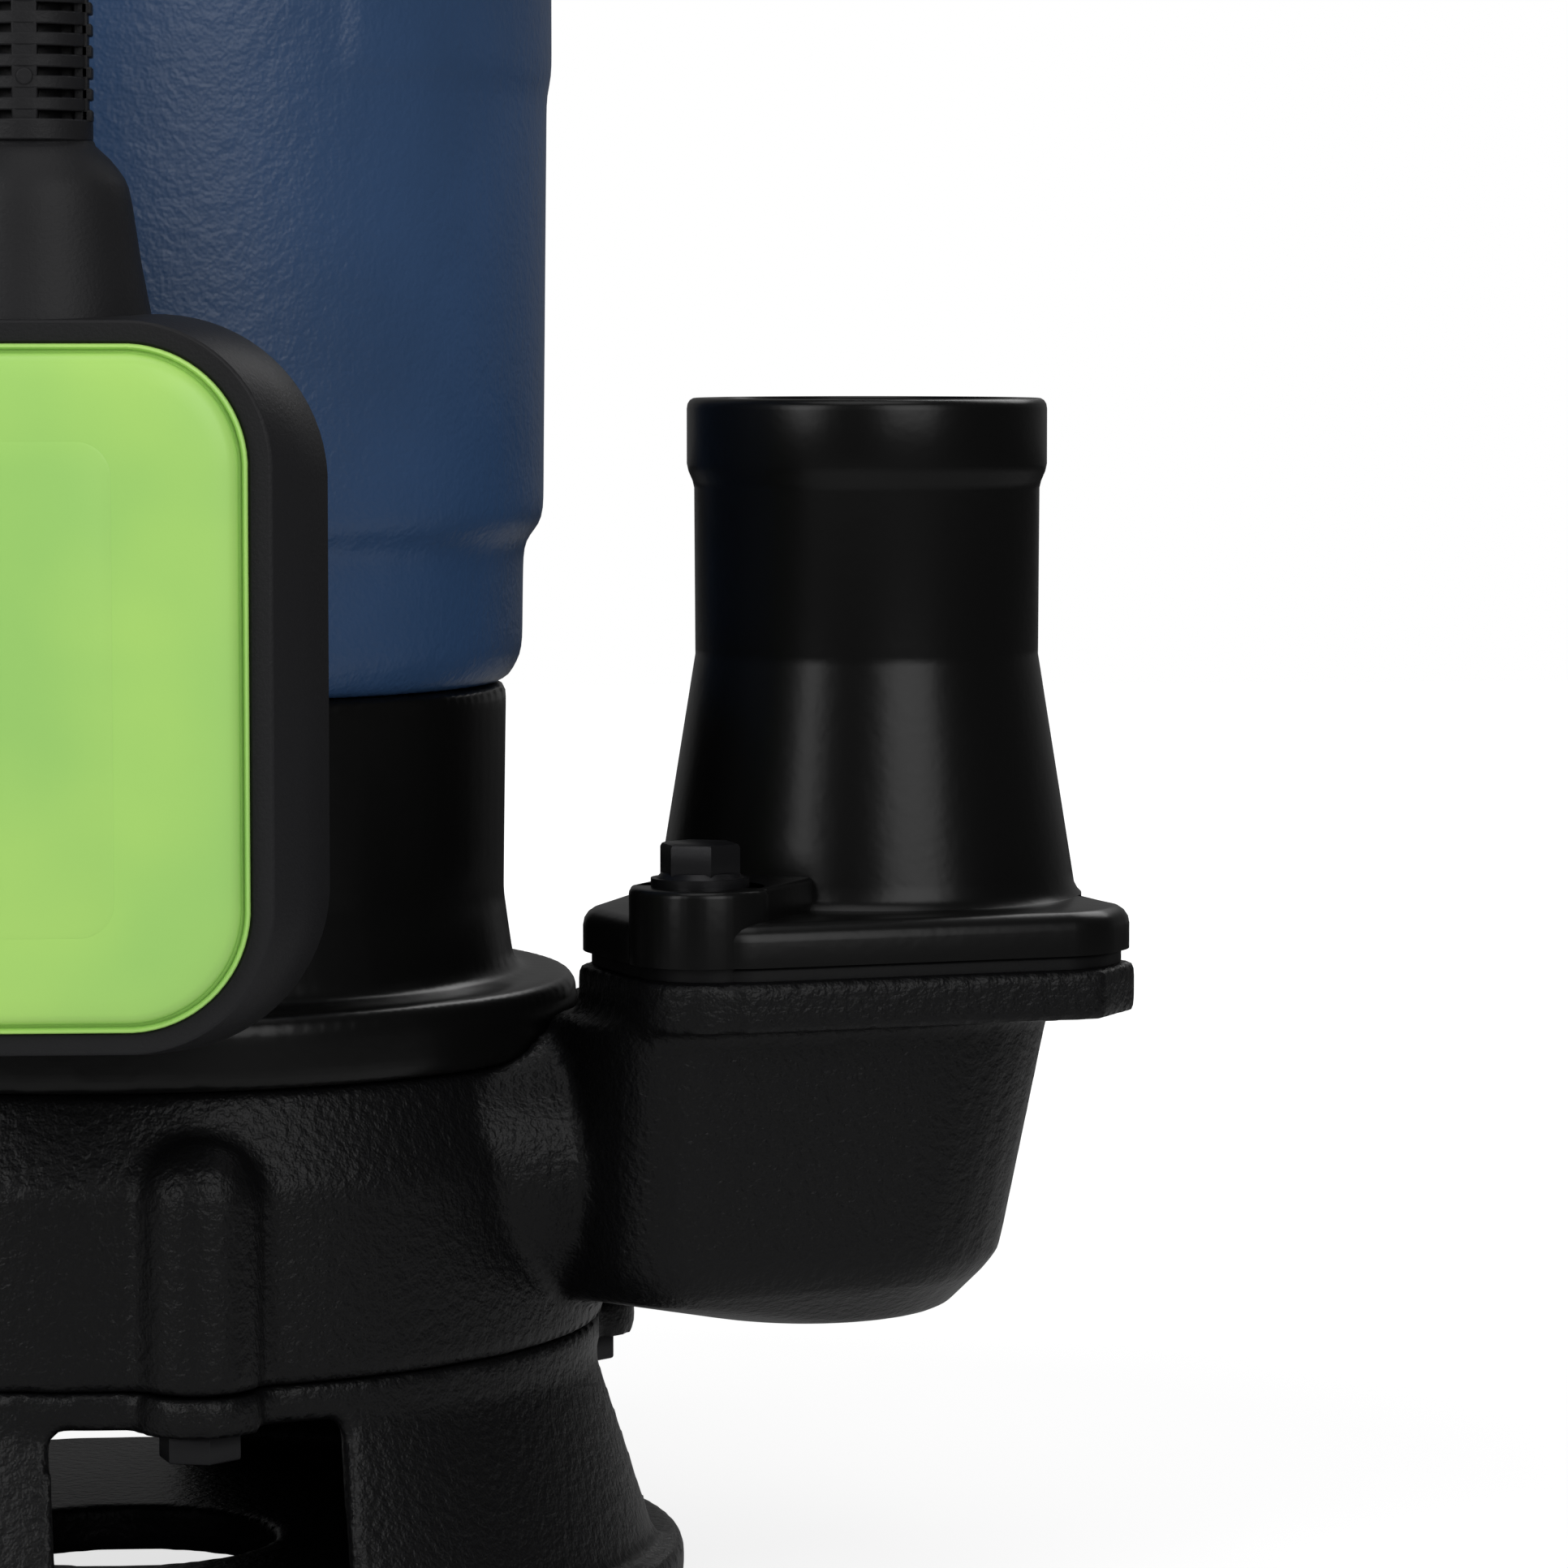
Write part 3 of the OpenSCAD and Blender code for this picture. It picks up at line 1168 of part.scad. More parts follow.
module float_lead_lower() {
    color(rubber) translate([float_x, float_y, 0]) {
        translate([0, 0, z_relief_top]) cylinder(r = lead_r, h = lead_drop);
        intersection() {
            translate([0, 0, z_pivot - 1]) cylinder(r = lead_r - slip / 2, h = 2 * lead_r);
            translate([0, 0, z_pivot]) rotate([0, 90, 0]) cylinder(r = lead_r - slip, h = 4 * lead_r, center = true);
        }
    }
}

// Float: ribbed strain relief, black frame with neck, two green shells
rib_pitch = 3.7;
rib_r = 11.2;

module float_strain_relief() {
    ribs = floor((relief_h - 6) / rib_pitch);
    color(plastic_black) translate([float_x, float_y, z_relief]) {
        cylinder(r = rib_r, h = 3.5);
        cylinder(r = 7, h = relief_h);
        for (i = [1 : ribs]) translate([0, 0, i * rib_pitch + 1.8]) cylinder(r = rib_r, h = 1.9);
        for (s = [-1, 1]) translate([-2.3, s > 0 ? 5 : -rib_r + 0.3, 0]) cube([4.6, rib_r - 5.3, relief_h - 3]);
    }
}

module rounded_slab(w, h, r, t, z0) {
    translate([-w / 2 + r, -t / 2, z0]) cube([w - 2 * r, t, h]);
    translate([-w / 2, -t / 2, z0 + r]) cube([w, t, h - 2 * r]);
    for (x = [-1, 1], z = [r, h - r]) translate([x * (w / 2 - r), t / 2, z0 + z]) rotate([90, 0, 0]) cylinder(r = r, h = t);
}

module slab_posts(w, h, r, t, z0, y0 = 0) {
    for (x = [-1, 1], z = [r, h - r]) translate([x * (w / 2 - r), y0 + t / 2, z0 + z]) rotate([90, 0, 0])
        cylinder(r = r, h = t, $fn = HULL_FN);
}

module in_float() { translate([float_x, float_y, float_z]) children(); }

module float_frame() {
    band = 5;
    top_r = 20.4;
    margin = (frame_h - shell_h) / 2;
    color(plastic_black) in_float() difference() {
        union() {
            hull() {
                slab_posts(frame_w, frame_h, frame_corner, 12, 0);
                slab_posts(shell_w + 2 * band, shell_h + 2 * margin * 0.6, shell_corner + band, frame_t, margin * 0.4);
            }
            translate([0, 0, frame_h - 8]) rotate_extrude() polygon(concat([[0, 0], [top_r, 0], [top_r - 0.2, 9]],
                [[top_r - 1.5, 16], [top_r - 3, 24]], arc(top_r - 8.5, neck_h + 2, 5.2, 0, 60, 4),
                [[rib_r, neck_h + 8], [0, neck_h + 8]]));
        }
        rounded_slab(shell_w + 2 * fit, shell_h + 2 * fit, shell_corner + fit, frame_w, margin - fit);
    }
}

module float_shell(side) {
    margin = (frame_h - shell_h) / 2;
    crown = 4;
    cavity = shell_d - crown - shell_wall;
    color(float_green) in_float() scale([1, side, 1]) difference() {
        union() {
            translate([0, (shell_d - crown) / 2, 0]) rounded_slab(shell_w, shell_h, shell_corner, shell_d - crown, margin);
            hull() {
                slab_posts(shell_w, shell_h, shell_corner, 1, margin, shell_d - crown - 0.5);
                slab_posts(shell_w - 14, shell_h - 14, shell_corner - 3, 1, margin + 7, shell_d - 0.5);
            }
        }
        difference() {
            translate([0, cavity / 2 - eps / 2, 0])
                rounded_slab(shell_w - 2 * shell_wall, shell_h - 2 * shell_wall, shell_corner - shell_wall,
                cavity + eps, margin + shell_wall);
            for (z = [z_tube - float_z + 6, z_tube - float_z + tube_h - 9, z_switch - float_z + 6])
                translate([-shell_w / 2, 0, z]) cube([shell_w, shell_d, 3]);
        }
        translate([0, 0, z_tube - float_z - fit]) cylinder(r = tube_r + fit, h = z_lever - z_tube);
        translate([-switch_w / 2 - fit, -eps, z_switch - float_z - 1]) cube([switch_w + 2 * fit, switch_t / 2 + fit + eps, switch_h + 2]);
    }
}

module float_front_shell() { float_shell(-1); }
module float_rear_shell() { float_shell(1); }
module float_ball() { color(steel) translate([float_x, float_y, z_ball]) sphere(r = ball_r); }

module float_ball_tube() {
    color(ceramic) translate([float_x, float_y, z_tube]) difference() {
        cylinder(r = tube_r, h = tube_h);
        translate([0, 0, tube_floor]) cylinder(r = ball_r + 0.3, h = tube_h);
    }
}

// Microswitch above the tube, with a hinged lever that the ball presses
switch_w = 28;
switch_t = 10;
switch_h = 16;
lever_x = -10;
lever_pin_r = 0.8;

module micro_switch() {
    color(plastic_black) translate([float_x, float_y, 0]) {
        translate([-switch_w / 2, -switch_t / 2, z_switch]) cube([switch_w, switch_t, switch_h]);
        translate([2, 0, z_switch - 1.4]) cylinder(r = 1.5, h = 2.4);
        for (s = [-1, 1]) translate([lever_x - 2, s * 3.6 - 0.8, z_lever]) cube([4, 1.6, z_switch - z_lever + eps]);
        translate([lever_x, 0, z_lever + 2]) rotate([90, 0, 0]) cylinder(r = lever_pin_r, h = 8, center = true);
    }
}

module switch_lever() {
    color(steel) translate([float_x + lever_x, float_y, z_lever]) difference() {
        union() {
            translate([0, 0, 2]) rotate([90, 0, 0]) cylinder(r = 2, h = 5, center = true);
            translate([0, -2.5, 0]) cube([21, 5, 1]);
        }
        translate([0, 0, 2]) rotate([90, 0, 0]) cylinder(r = lever_pin_r + fit, h = 6, center = true);
    }
}

base_stand();
stand_bolts();
suction_plate();
suction_plate_screws();
volute_casing();
volute_o_ring();
volute_screws();
seal_housing();
oil_plug();
seal_seats();
seal_heads();
lower_bearing_outer();
lower_bearing_inner();
lower_ball_set();
bearing_circlip();
motor_shaft();
impeller();
impeller_key();
impeller_nut();
rotor_core();
rotor_end_rings();
stator_core();
stator_windings();
upper_bearing_outer();
upper_bearing_inner();
upper_ball_set();
bearing_bracket();
bracket_screws();
motor_casing();
casing_o_ring();
casing_screws();
top_cover();
cover_o_ring();
cover_bolts();
capacitor();
terminal_block();
gland_bodies();
gland_nuts();
gland_bushes();
handle();
handle_bolts();
outlet_gasket();
outlet_adapter();
outlet_bolts();
flap_disc();
flap_plate();
flap_pin();
float_lead_upper();
lead_clip();
lead_clip_screws();
float_lead_lower();
float_strain_relief();
float_frame();
float_front_shell();
float_rear_shell();
float_ball();
float_ball_tube();
micro_switch();
switch_lever();
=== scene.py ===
import math

import bmesh
import bpy
from mathutils import Matrix, Vector


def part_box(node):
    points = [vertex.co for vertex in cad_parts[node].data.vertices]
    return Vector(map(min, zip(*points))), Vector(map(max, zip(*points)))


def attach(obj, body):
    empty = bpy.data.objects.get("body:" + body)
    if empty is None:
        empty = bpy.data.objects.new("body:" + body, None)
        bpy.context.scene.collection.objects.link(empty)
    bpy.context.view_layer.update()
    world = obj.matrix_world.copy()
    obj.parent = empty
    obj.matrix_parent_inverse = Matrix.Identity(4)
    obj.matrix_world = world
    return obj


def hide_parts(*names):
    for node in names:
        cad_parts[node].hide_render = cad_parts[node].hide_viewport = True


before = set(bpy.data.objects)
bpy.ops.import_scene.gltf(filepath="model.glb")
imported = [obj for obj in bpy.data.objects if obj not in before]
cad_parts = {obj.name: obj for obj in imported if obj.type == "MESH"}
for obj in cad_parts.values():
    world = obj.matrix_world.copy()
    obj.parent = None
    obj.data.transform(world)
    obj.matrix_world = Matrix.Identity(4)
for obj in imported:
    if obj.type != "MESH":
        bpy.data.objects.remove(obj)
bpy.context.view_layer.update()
MM = 0.001

# --- Camera ---
# A long lens a little over a metre in front of the pump, level with the motor, panned and tipped so that the
# outlet stands near the middle of a square frame.
FRAME_PX = 1932
FOCAL_PX = 7553
CAMERA_AT = Vector((39.9, -1171, 239.1)) * MM
PAN = 0.0743
TILT = 0.0733
camera_data = bpy.data.cameras.new("camera")
camera_data.sensor_width = 36
camera_data.lens = camera_data.sensor_width * FOCAL_PX / FRAME_PX
camera_data.clip_end = 50
camera = bpy.data.objects.new("camera", camera_data)
camera.location = CAMERA_AT
camera.rotation_euler = (math.pi / 2 - TILT, 0, -PAN)
bpy.context.scene.collection.objects.link(camera)
bpy.context.scene.camera = camera
bpy.context.scene.view_settings.view_transform = "Standard"


# --- Float lead ---
# Round cable with an extruded rubber sheath. One stretch bows from the cover's gland into the clip; the other
# hangs from the clip into the float's strain relief and swings with the float.
LEAD_D = 7 * MM
LEAD_EXIT = Vector((-11, -50, 386)) * MM
LEAD_BOW = [(0, 0, 0), (0, 0, 8), (0, -3, 18), (0, -9, 26), (0, -18, 32), (0, -29, 34), (0, -40, 32),
            (0, -49, 26), (0, -55, 18), (0, -58, 8), (0, -58, -3), (0, -58, -14), (0, -58, -26)]
LEAD_PIVOT = Vector((-11, -108, 359.2)) * MM
LEAD_DROP = 53.2 * MM


def linear(colour):
    """An sRGB hex colour as a linear one."""
    parts = [int(colour[i:i + 2], 16) / 255 for i in (1, 3, 5)]
    return (*(c / 12.92 if c <= 0.04045 else ((c + 0.055) / 1.055) ** 2.4 for c in parts), 1.0)


def add_node(tree, kind, inputs, **settings):
    """Adds a node with its settings; an input is a value or the output that feeds it."""
    node = tree.nodes.new("ShaderNode" + kind)
    for key, value in settings.items():
        setattr(node, key, value)
    for key, value in inputs.items():
        if isinstance(value, bpy.types.NodeSocket):
            tree.links.new(value, node.inputs[key])
        else:
            node.inputs[key].default_value = value
    return node


def new_material(name, colour, roughness, metallic=0.0, specular=0.5):
    """A material with the shader's plain values, and its node tree and shader."""
    material = bpy.data.materials.new(name)
    material.use_nodes = True
    shader = material.node_tree.nodes["Principled BSDF"]
    shader.inputs["Base Color"].default_value = linear(colour)
    shader.inputs["Roughness"].default_value = roughness
    shader.inputs["Metallic"].default_value = metallic
    shader.inputs["Specular IOR Level"].default_value = specular
    return material, material.node_tree, shader


def grain(tree, shader, size, depth, detail=3.0, under=None):
    """Bumps a surface with grains of a real size and depth in millimetres, over another grain if given."""
    place = add_node(tree, "TexCoord", {})
    noise = add_node(tree, "TexNoise", {"Vector": place.outputs["Object"], "Scale": 1 / (size * MM),
                                        "Detail": detail, "Roughness": 0.6})
    feed = {"Height": noise.outputs["Fac"], "Distance": depth * MM, "Strength": 1.0}
    if under is not None:
        feed["Normal"] = under.outputs["Normal"]
    bump = add_node(tree, "Bump", feed)
    tree.links.new(bump.outputs["Normal"], shader.inputs["Normal"])
    return bump


def lead(name, points):
    """A stretch of lead along a smooth curve through its points."""
    curve = bpy.data.curves.new(name, "CURVE")
    curve.dimensions = "3D"
    curve.bevel_depth = LEAD_D / 2
    curve.bevel_resolution = 6
    curve.resolution_u = 8
    curve.use_fill_caps = True
    spline = curve.splines.new("BEZIER")
    spline.bezier_points.add(len(points) - 1)
    for point, at in zip(spline.bezier_points, points):
        point.co = at
        point.handle_left_type = point.handle_right_type = "AUTO"
    curve.materials.append(rubber)
    obj = bpy.data.objects.new(name, curve)
    bpy.context.scene.collection.objects.link(obj)
    return obj


# Extruded rubber: nearly black and matt, with a fine drag grain
rubber, tree, shader = new_material("extruded_rubber", "#161617", 0.58, specular=0.35)
grain(tree, shader, 0.5, 0.03)

upper_points = [LEAD_EXIT + Vector(p) * MM for p in LEAD_BOW]
upper_lead = lead("float_lead_bow", upper_points)
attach(upper_lead, "root")
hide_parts("float_lead_upper")
lower_points = [LEAD_PIVOT - Vector((0, 0, LEAD_DROP * k / 4)) for k in range(5)]
lower_lead = lead("float_lead_drop", lower_points)
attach(lower_lead, "float")
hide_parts("float_lead_lower")


# --- Studio ---
# A pale floor with two soft boxes low in front of it, one above and one behind, in a dark room with a pale
# back wall. Room and floor show white to the camera, and only faintly in the black paint.
FLOOR_HALF = 3.0
bm = bmesh.new()
bmesh.ops.create_grid(bm, x_segments=1, y_segments=1, size=FLOOR_HALF)
floor_mesh = bpy.data.meshes.new("floor")
bm.to_mesh(floor_mesh)
bm.free()
floor = bpy.data.objects.new("floor", floor_mesh)
bpy.context.scene.collection.objects.link(floor)

# Matt floor paint: to the camera a glowing white that keeps the pump's shadow and dulls a little near it. In
# reflections it fades to dark grey away from the pump. Reaches are from the pump's axis, in metres.
GLOW_REACH, GLOW_NEAR = 0.3, 0.74
FADE_REACH, FADE_NEAR = 0.25, 0.36
FAR_REACH = 1.1
floor_paint, tree, shader = new_material("studio_floor", "#e6e6e6", 0.9, specular=0.1)
path = add_node(tree, "LightPath", {})
place = add_node(tree, "TexCoord", {})
away = add_node(tree, "VectorMath", {0: place.outputs["Object"]}, operation="LENGTH")
glow = add_node(tree, "MapRange", {"Value": away.outputs["Value"], "From Min": GLOW_REACH,
                                   "From Max": FAR_REACH, "To Min": GLOW_NEAR, "To Max": 1.0})
white = add_node(tree, "Emission", {"Color": linear("#ffffff"), "Strength": glow.outputs[0]})
shadow = add_node(tree, "BsdfDiffuse", {"Color": linear("#969696")})
white_floor = add_node(tree, "AddShader", {0: white.outputs[0], 1: shadow.outputs[0]})
seen = add_node(tree, "Math", {0: path.outputs["Is Camera Ray"], 1: path.outputs["Is Transmission Ray"]},
                operation="MAXIMUM")
plain = add_node(tree, "MixShader", {0: seen.outputs[0], 1: shader.outputs[0], 2: white_floor.outputs[0]})
dark_floor = add_node(tree, "BsdfDiffuse", {"Color": linear("#303030")})
fade = add_node(tree, "MapRange", {"Value": away.outputs["Value"], "From Min": FADE_REACH,
                                   "From Max": FAR_REACH, "To Min": FADE_NEAR, "To Max": 1.0})
mirrored = add_node(tree, "Math", {0: path.outputs["Is Glossy Ray"], 1: fade.outputs[0]},
                    operation="MULTIPLY")
whole = add_node(tree, "MixShader", {0: mirrored.outputs[0], 1: plain.outputs[0], 2: dark_floor.outputs[0]})
tree.links.new(whole.outputs[0], tree.nodes["Material Output"].inputs["Surface"])
floor_mesh.materials.append(floor_paint)

# The room's light by kind of ray: white to the camera, soft light on surfaces, and in reflections dark, but
# paler towards the wall behind, which starts and is full at these shares of a ray's way to the rear
AMBIENT = 0.38
DARK_ROOM = 0.045
PALE_WALL = 0.16
WALL_START, WALL_FULL = 0.3, 0.98
world = bpy.data.worlds.new("studio")
world.use_nodes = True
bpy.context.scene.world = world
tree = world.node_tree
path = add_node(tree, "LightPath", {})
ray = add_node(tree, "TexCoord", {})
toward = add_node(tree, "SeparateXYZ", {0: ray.outputs["Generated"]})
wall = add_node(tree, "MapRange", {"Value": toward.outputs["Y"], "From Min": WALL_START,
                                   "From Max": WALL_FULL, "To Min": DARK_ROOM, "To Max": PALE_WALL})
mirrored = add_node(tree, "Math", {0: path.outputs["Is Glossy Ray"], 1: wall.outputs[0]},
                    operation="MULTIPLY")
seen = add_node(tree, "Math", {0: path.outputs["Is Camera Ray"], 1: path.outputs["Is Transmission Ray"]},
                operation="MAXIMUM")
shown = add_node(tree, "Math", {0: seen.outputs[0], 1: mirrored.outputs[0]}, operation="MAXIMUM")
soft = add_node(tree, "Math", {0: path.outputs["Is Diffuse Ray"], 1: AMBIENT}, operation="MULTIPLY")
level = add_node(tree, "Math", {0: shown.outputs[0], 1: soft.outputs[0]}, operation="MAXIMUM")
tree.links.new(level.outputs[0], tree.nodes["Background"].inputs["Strength"])
tree.nodes["Background"].inputs["Color"].default_value = linear("#ffffff")

LIT_POINT = Vector((30, 0, 190)) * MM


def soft_box(name, azimuth, elevation, distance, width, height, watts):
    """An area lamp on a ball round the pump; azimuth 0 is the camera's side, positive to its right."""
    data = bpy.data.lights.new(name, "AREA")
    data.shape = "RECTANGLE"
    data.size = width
    data.size_y = height
    data.energy = watts
    obj = bpy.data.objects.new(name, data)
    a, e = math.radians(azimuth), math.radians(elevation)
    away = Vector((math.sin(a) * math.cos(e), -math.cos(a) * math.cos(e), math.sin(e)))
    obj.location = LIT_POINT + away * distance
    obj.rotation_euler = away.to_track_quat("Z", "Y").to_euler()
    bpy.context.scene.collection.objects.link(obj)


soft_box("left_box", -46, 23.5, 1.7, 0.82, 1.1, 11)
soft_box("right_box", 26, 23.5, 1.7, 0.95, 1.1, 10.2)
soft_box("top_box", 10, 80, 1.8, 1.2, 1.2, 7)
soft_box("rear_box", 140, 40, 1.9, 1.1, 0.9, 9)


# --- Base stand ---
# Grey iron cast in sand: a ring plate, flared legs between four water windows and a rim with bolt lugs.
# It is dipped in black paint, which lies thick enough to round the grain of the sand.
def finish_piece(name, bm, material, body, slot, *nodes, merge=1e-6):
    """Makes a bmesh a smooth-shaded piece on its body, standing for its nodes."""
    bmesh.ops.remove_doubles(bm, verts=bm.verts, dist=merge)
    bmesh.ops.recalc_face_normals(bm, faces=bm.faces)
    mesh = bpy.data.meshes.new(name)
    bm.to_mesh(mesh)
    bm.free()
    mesh.shade_smooth()
    mesh.set_sharp_from_angle(angle=math.radians(30))
    mesh.materials.append(material)
    obj = bpy.data.objects.new(name, mesh)
    bpy.context.scene.collection.objects.link(obj)
    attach(obj, body)
    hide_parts(*nodes)
    return obj


def cast_copy(node, name, voxel, rounds, material, slot):
    """A node's own solid with its corners run soft, as a sand mould leaves them."""
    bm = bmesh.new()
    bm.from_mesh(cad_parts[node].data)
    obj = finish_piece(name, bm, material, "root", slot, node, merge=1e-5)
    skin = obj.modifiers.new("skin", "REMESH")
    skin.mode = "VOXEL"
    skin.voxel_size = voxel * MM
    skin.use_smooth_shade = True
    soften = obj.modifiers.new("soften", "SMOOTH")
    soften.factor = 0.5
    soften.iterations = rounds


# Black dip paint on sand-cast iron: semi-gloss, with sand grain of about 2 mm and fine pits showing through
cast_paint, tree, shader = new_material("dip_painted_cast_iron", "#0a0a0b", 0.38, specular=0.2)
sand = grain(tree, shader, 1.9, 0.4, 2.0)
grain(tree, shader, 0.7, 0.14, 3.0, under=sand)

cast_copy("base_stand", "stand_casting", 1.4, 3, cast_paint, "black_cast_iron")


# --- Stand bolts ---
# Four M8 hexagon bolts go up through the rim's lugs into the volute. Their heads are forged, with the chamfer
# turned on, and plated.
STUD_CIRCLE = 89
STUD_TURN = 10.6
STUD_L = 31
SHANK_R = 4
HEAD_8 = 13
HEAD_8_H = 5.3
HEAD_8_TURN = 15
LUG_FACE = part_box("stand_bolts")[0].z / MM + HEAD_8_H


def add_hexagon(bm, at, across, height, turn, chamfer=0.5):
    """Adds a hexagon head standing on a point, with the edges of its two ends taken off."""
    radius = across / 2 / math.cos(math.pi / 6) * MM
    made = bmesh.ops.create_cone(bm, cap_ends=True, segments=6, radius1=radius, radius2=radius,
                                 depth=height * MM)["verts"]
    bmesh.ops.rotate(bm, verts=made, matrix=Matrix.Rotation(math.radians(turn), 3, "Z"))
    bmesh.ops.translate(bm, verts=made, vec=(at[0] * MM, at[1] * MM, (at[2] + height / 2) * MM))
    edges = [e for e in {e for v in made for e in v.link_edges}
             if abs(e.verts[0].co.z - e.verts[1].co.z) < 1e-6]
    bmesh.ops.bevel(bm, geom=edges, offset=chamfer * MM, segments=2, profile=0.5, affect="EDGES",
                    material=-1)


def add_round(bm, at, radius, height, top_radius=None):
    """Adds an upright round bar or cone standing on a point."""
    made = bmesh.ops.create_cone(bm, cap_ends=True, segments=48, radius1=radius * MM,
                                 radius2=(radius if top_radius is None else top_radius) * MM,
                                 depth=height * MM)["verts"]
    bmesh.ops.translate(bm, verts=made, vec=(at[0] * MM, at[1] * MM, (at[2] + height / 2) * MM))


def on_circle(count, radius, turn=0.0):
    """Places round a circle, the first in front."""
    for i in range(count):
        a = math.radians(turn + 360 * i / count)
        yield radius * math.sin(a), -radius * math.cos(a)


# Black zinc plating: dark, half-gloss metal with a faint oily sheen
black_zinc, tree, shader = new_material("black_zinc", "#1c1c1e", 0.36, metallic=0.6)
grain(tree, shader, 0.8, 0.02)

bm = bmesh.new()
for x, y in on_circle(4, STUD_CIRCLE, STUD_TURN):
    add_hexagon(bm, (x, y, LUG_FACE - HEAD_8_H), HEAD_8, HEAD_8_H, HEAD_8_TURN)
    add_round(bm, (x, y, LUG_FACE - 1), SHANK_R, STUD_L)
finish_piece("stand_bolt_set", bm, black_zinc, "root", "black_zinc", "stand_bolts")


# --- Suction plate and volute ---
# The wear plate is turned iron held by three low-head screws. The volute is one sand casting: drum, sloped
# shoulder, four domed bolt lugs, discharge stub and valve chamber with its flange.
def dress(material, *nodes):
    """Gives carried-over nodes their material."""
    for node in nodes:
        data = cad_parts[node].data
        data.materials.clear()
        data.materials.append(material)


# Stainless steel, turned and pickled: bright, with fine tool marks
stainless, tree, shader = new_material("stainless_steel", "#b9babc", 0.28, metallic=1.0)
grain(tree, shader, 0.35, 0.012)

dress(cast_paint, "suction_plate")
dress(stainless, "suction_plate_screws", "volute_screws")
cast_copy("volute_casing", "volute_casting", 1.4, 4, cast_paint, "black_cast_iron")


# --- Impeller and shaft ---
# An open six-vane impeller of bare grey iron sits on the end of a stainless shaft. A key turns it and a cap
# nut holds it on.
def mottle(tree, shader, first, second, size):
    """Varies the base colour between two in soft patches of a real size in millimetres."""
    place = add_node(tree, "TexCoord", {})
    noise = add_node(tree, "TexNoise", {"Vector": place.outputs["Object"], "Scale": 1 / (size * MM),
                                        "Detail": 2.0})
    ramp = add_node(tree, "ValToRGB", {"Fac": noise.outputs["Fac"]})
    for stop, place_on, colour in zip(ramp.color_ramp.elements, (0.35, 0.65), (first, second)):
        stop.position = place_on
        stop.color = linear(colour)
    tree.links.new(ramp.outputs["Color"], shader.inputs["Base Color"])


# Bare grey iron as cast: dull, rough metal, clouded by its skin
bare_iron, tree, shader = new_material("bare_cast_iron", "#6a6866", 0.55, metallic=0.8)
grain(tree, shader, 2.0, 0.2)
mottle(tree, shader, "#5c5a58", "#777472", 14)

dress(bare_iron, "impeller")
dress(stainless, "motor_shaft", "impeller_key", "impeller_nut")


# --- Seals and bearings ---
# Two face seals with ceramic seats run in oil. Deep-groove ball bearings carry the shaft below and above, and
# rubber rings seal the joints of the housing.

# Lapped alumina: smooth, off-white and half-gloss
ceramic, tree, shader = new_material("alumina_ceramic", "#e8e4da", 0.25)
grain(tree, shader, 0.4, 0.004)
# Ground bearing steel: close to a mirror
bearing_steel, tree, shader = new_material("ground_bearing_steel", "#c4c6c9", 0.18, metallic=1.0)
grain(tree, shader, 0.3, 0.004)

dress(ceramic, "seal_seats")
dress(stainless, "seal_heads", "bearing_circlip")
dress(bearing_steel, "lower_bearing_outer", "lower_bearing_inner", "lower_ball_set", "upper_bearing_outer",
      "upper_bearing_inner", "upper_ball_set")
dress(rubber, "volute_o_ring", "casing_o_ring", "cover_o_ring")


# --- Seal housing ---
# Cast iron disk and neck over the volute. The neck is turned before it is painted, so it is smoother than
# the sand-cast pieces round it.

# Black paint on turned iron: glossier than on the castings, with long, faint waves
smooth_paint, tree, shader = new_material("painted_turned_iron", "#090909", 0.29, specular=0.23)
grain(tree, shader, 3.5, 0.05, 2.0)

cast_copy("seal_housing", "neck_casting", 1.4, 4, smooth_paint, "black_cast_iron")
dress(black_zinc, "oil_plug")


# --- Motor ---
# Cast casing in blue enamel over a pressed stator with copper windings, a cage rotor, its bracket with the
# upper bearing, the capacitor and the terminal block.

# Blue enamel sprayed on a casting: half-gloss, with wide orange peel, finer wrinkles and slight patches
blue, tree, shader = new_material("blue_enamel", "#273f60", 0.38, specular=0.38)
mottle(tree, shader, "#263e5e", "#294264", 40)
peel = grain(tree, shader, 5, 0.2, 1.0)
grain(tree, shader, 1.3, 0.17, 1.0, under=peel)
# Varnished copper wire: warm brown metal, uneven from wire to wire
copper, tree, shader = new_material("enamelled_copper", "#a85f33", 0.35, metallic=0.9)
grain(tree, shader, 0.6, 0.1)
# Stacked electrical steel: blue-grey and dull, as fine in its roughness as the 0.5 mm sheets
lamination, tree, shader = new_material("electrical_steel", "#5d6065", 0.45, metallic=0.9)
grain(tree, shader, 0.5, 0.05)
# Cast aluminium: pale, soft-edged gloss with a slight grain
aluminium, tree, shader = new_material("cast_aluminium", "#b4b6b8", 0.45, metallic=1.0)
grain(tree, shader, 1.2, 0.08)
# Natural nylon: milky and smooth
terminal_plastic, tree, shader = new_material("natural_nylon", "#e9e4d6", 0.45)
grain(tree, shader, 0.8, 0.02)
# Black nylon from a grained mould: charcoal, dull and evenly rough
black_plastic, tree, shader = new_material("grained_nylon", "#171719", 0.52, specular=0.24)
grain(tree, shader, 0.7, 0.08, 2.0)

cast_copy("motor_casing", "casing_shell", 1.9, 7, blue, "blue_enamel")
dress(copper, "stator_windings")
dress(lamination, "stator_core", "rotor_core")
dress(aluminium, "rotor_end_rings", "bearing_bracket")
dress(terminal_plastic, "terminal_block")
dress(black_plastic, "capacitor")
dress(stainless, "casing_screws", "bracket_screws")


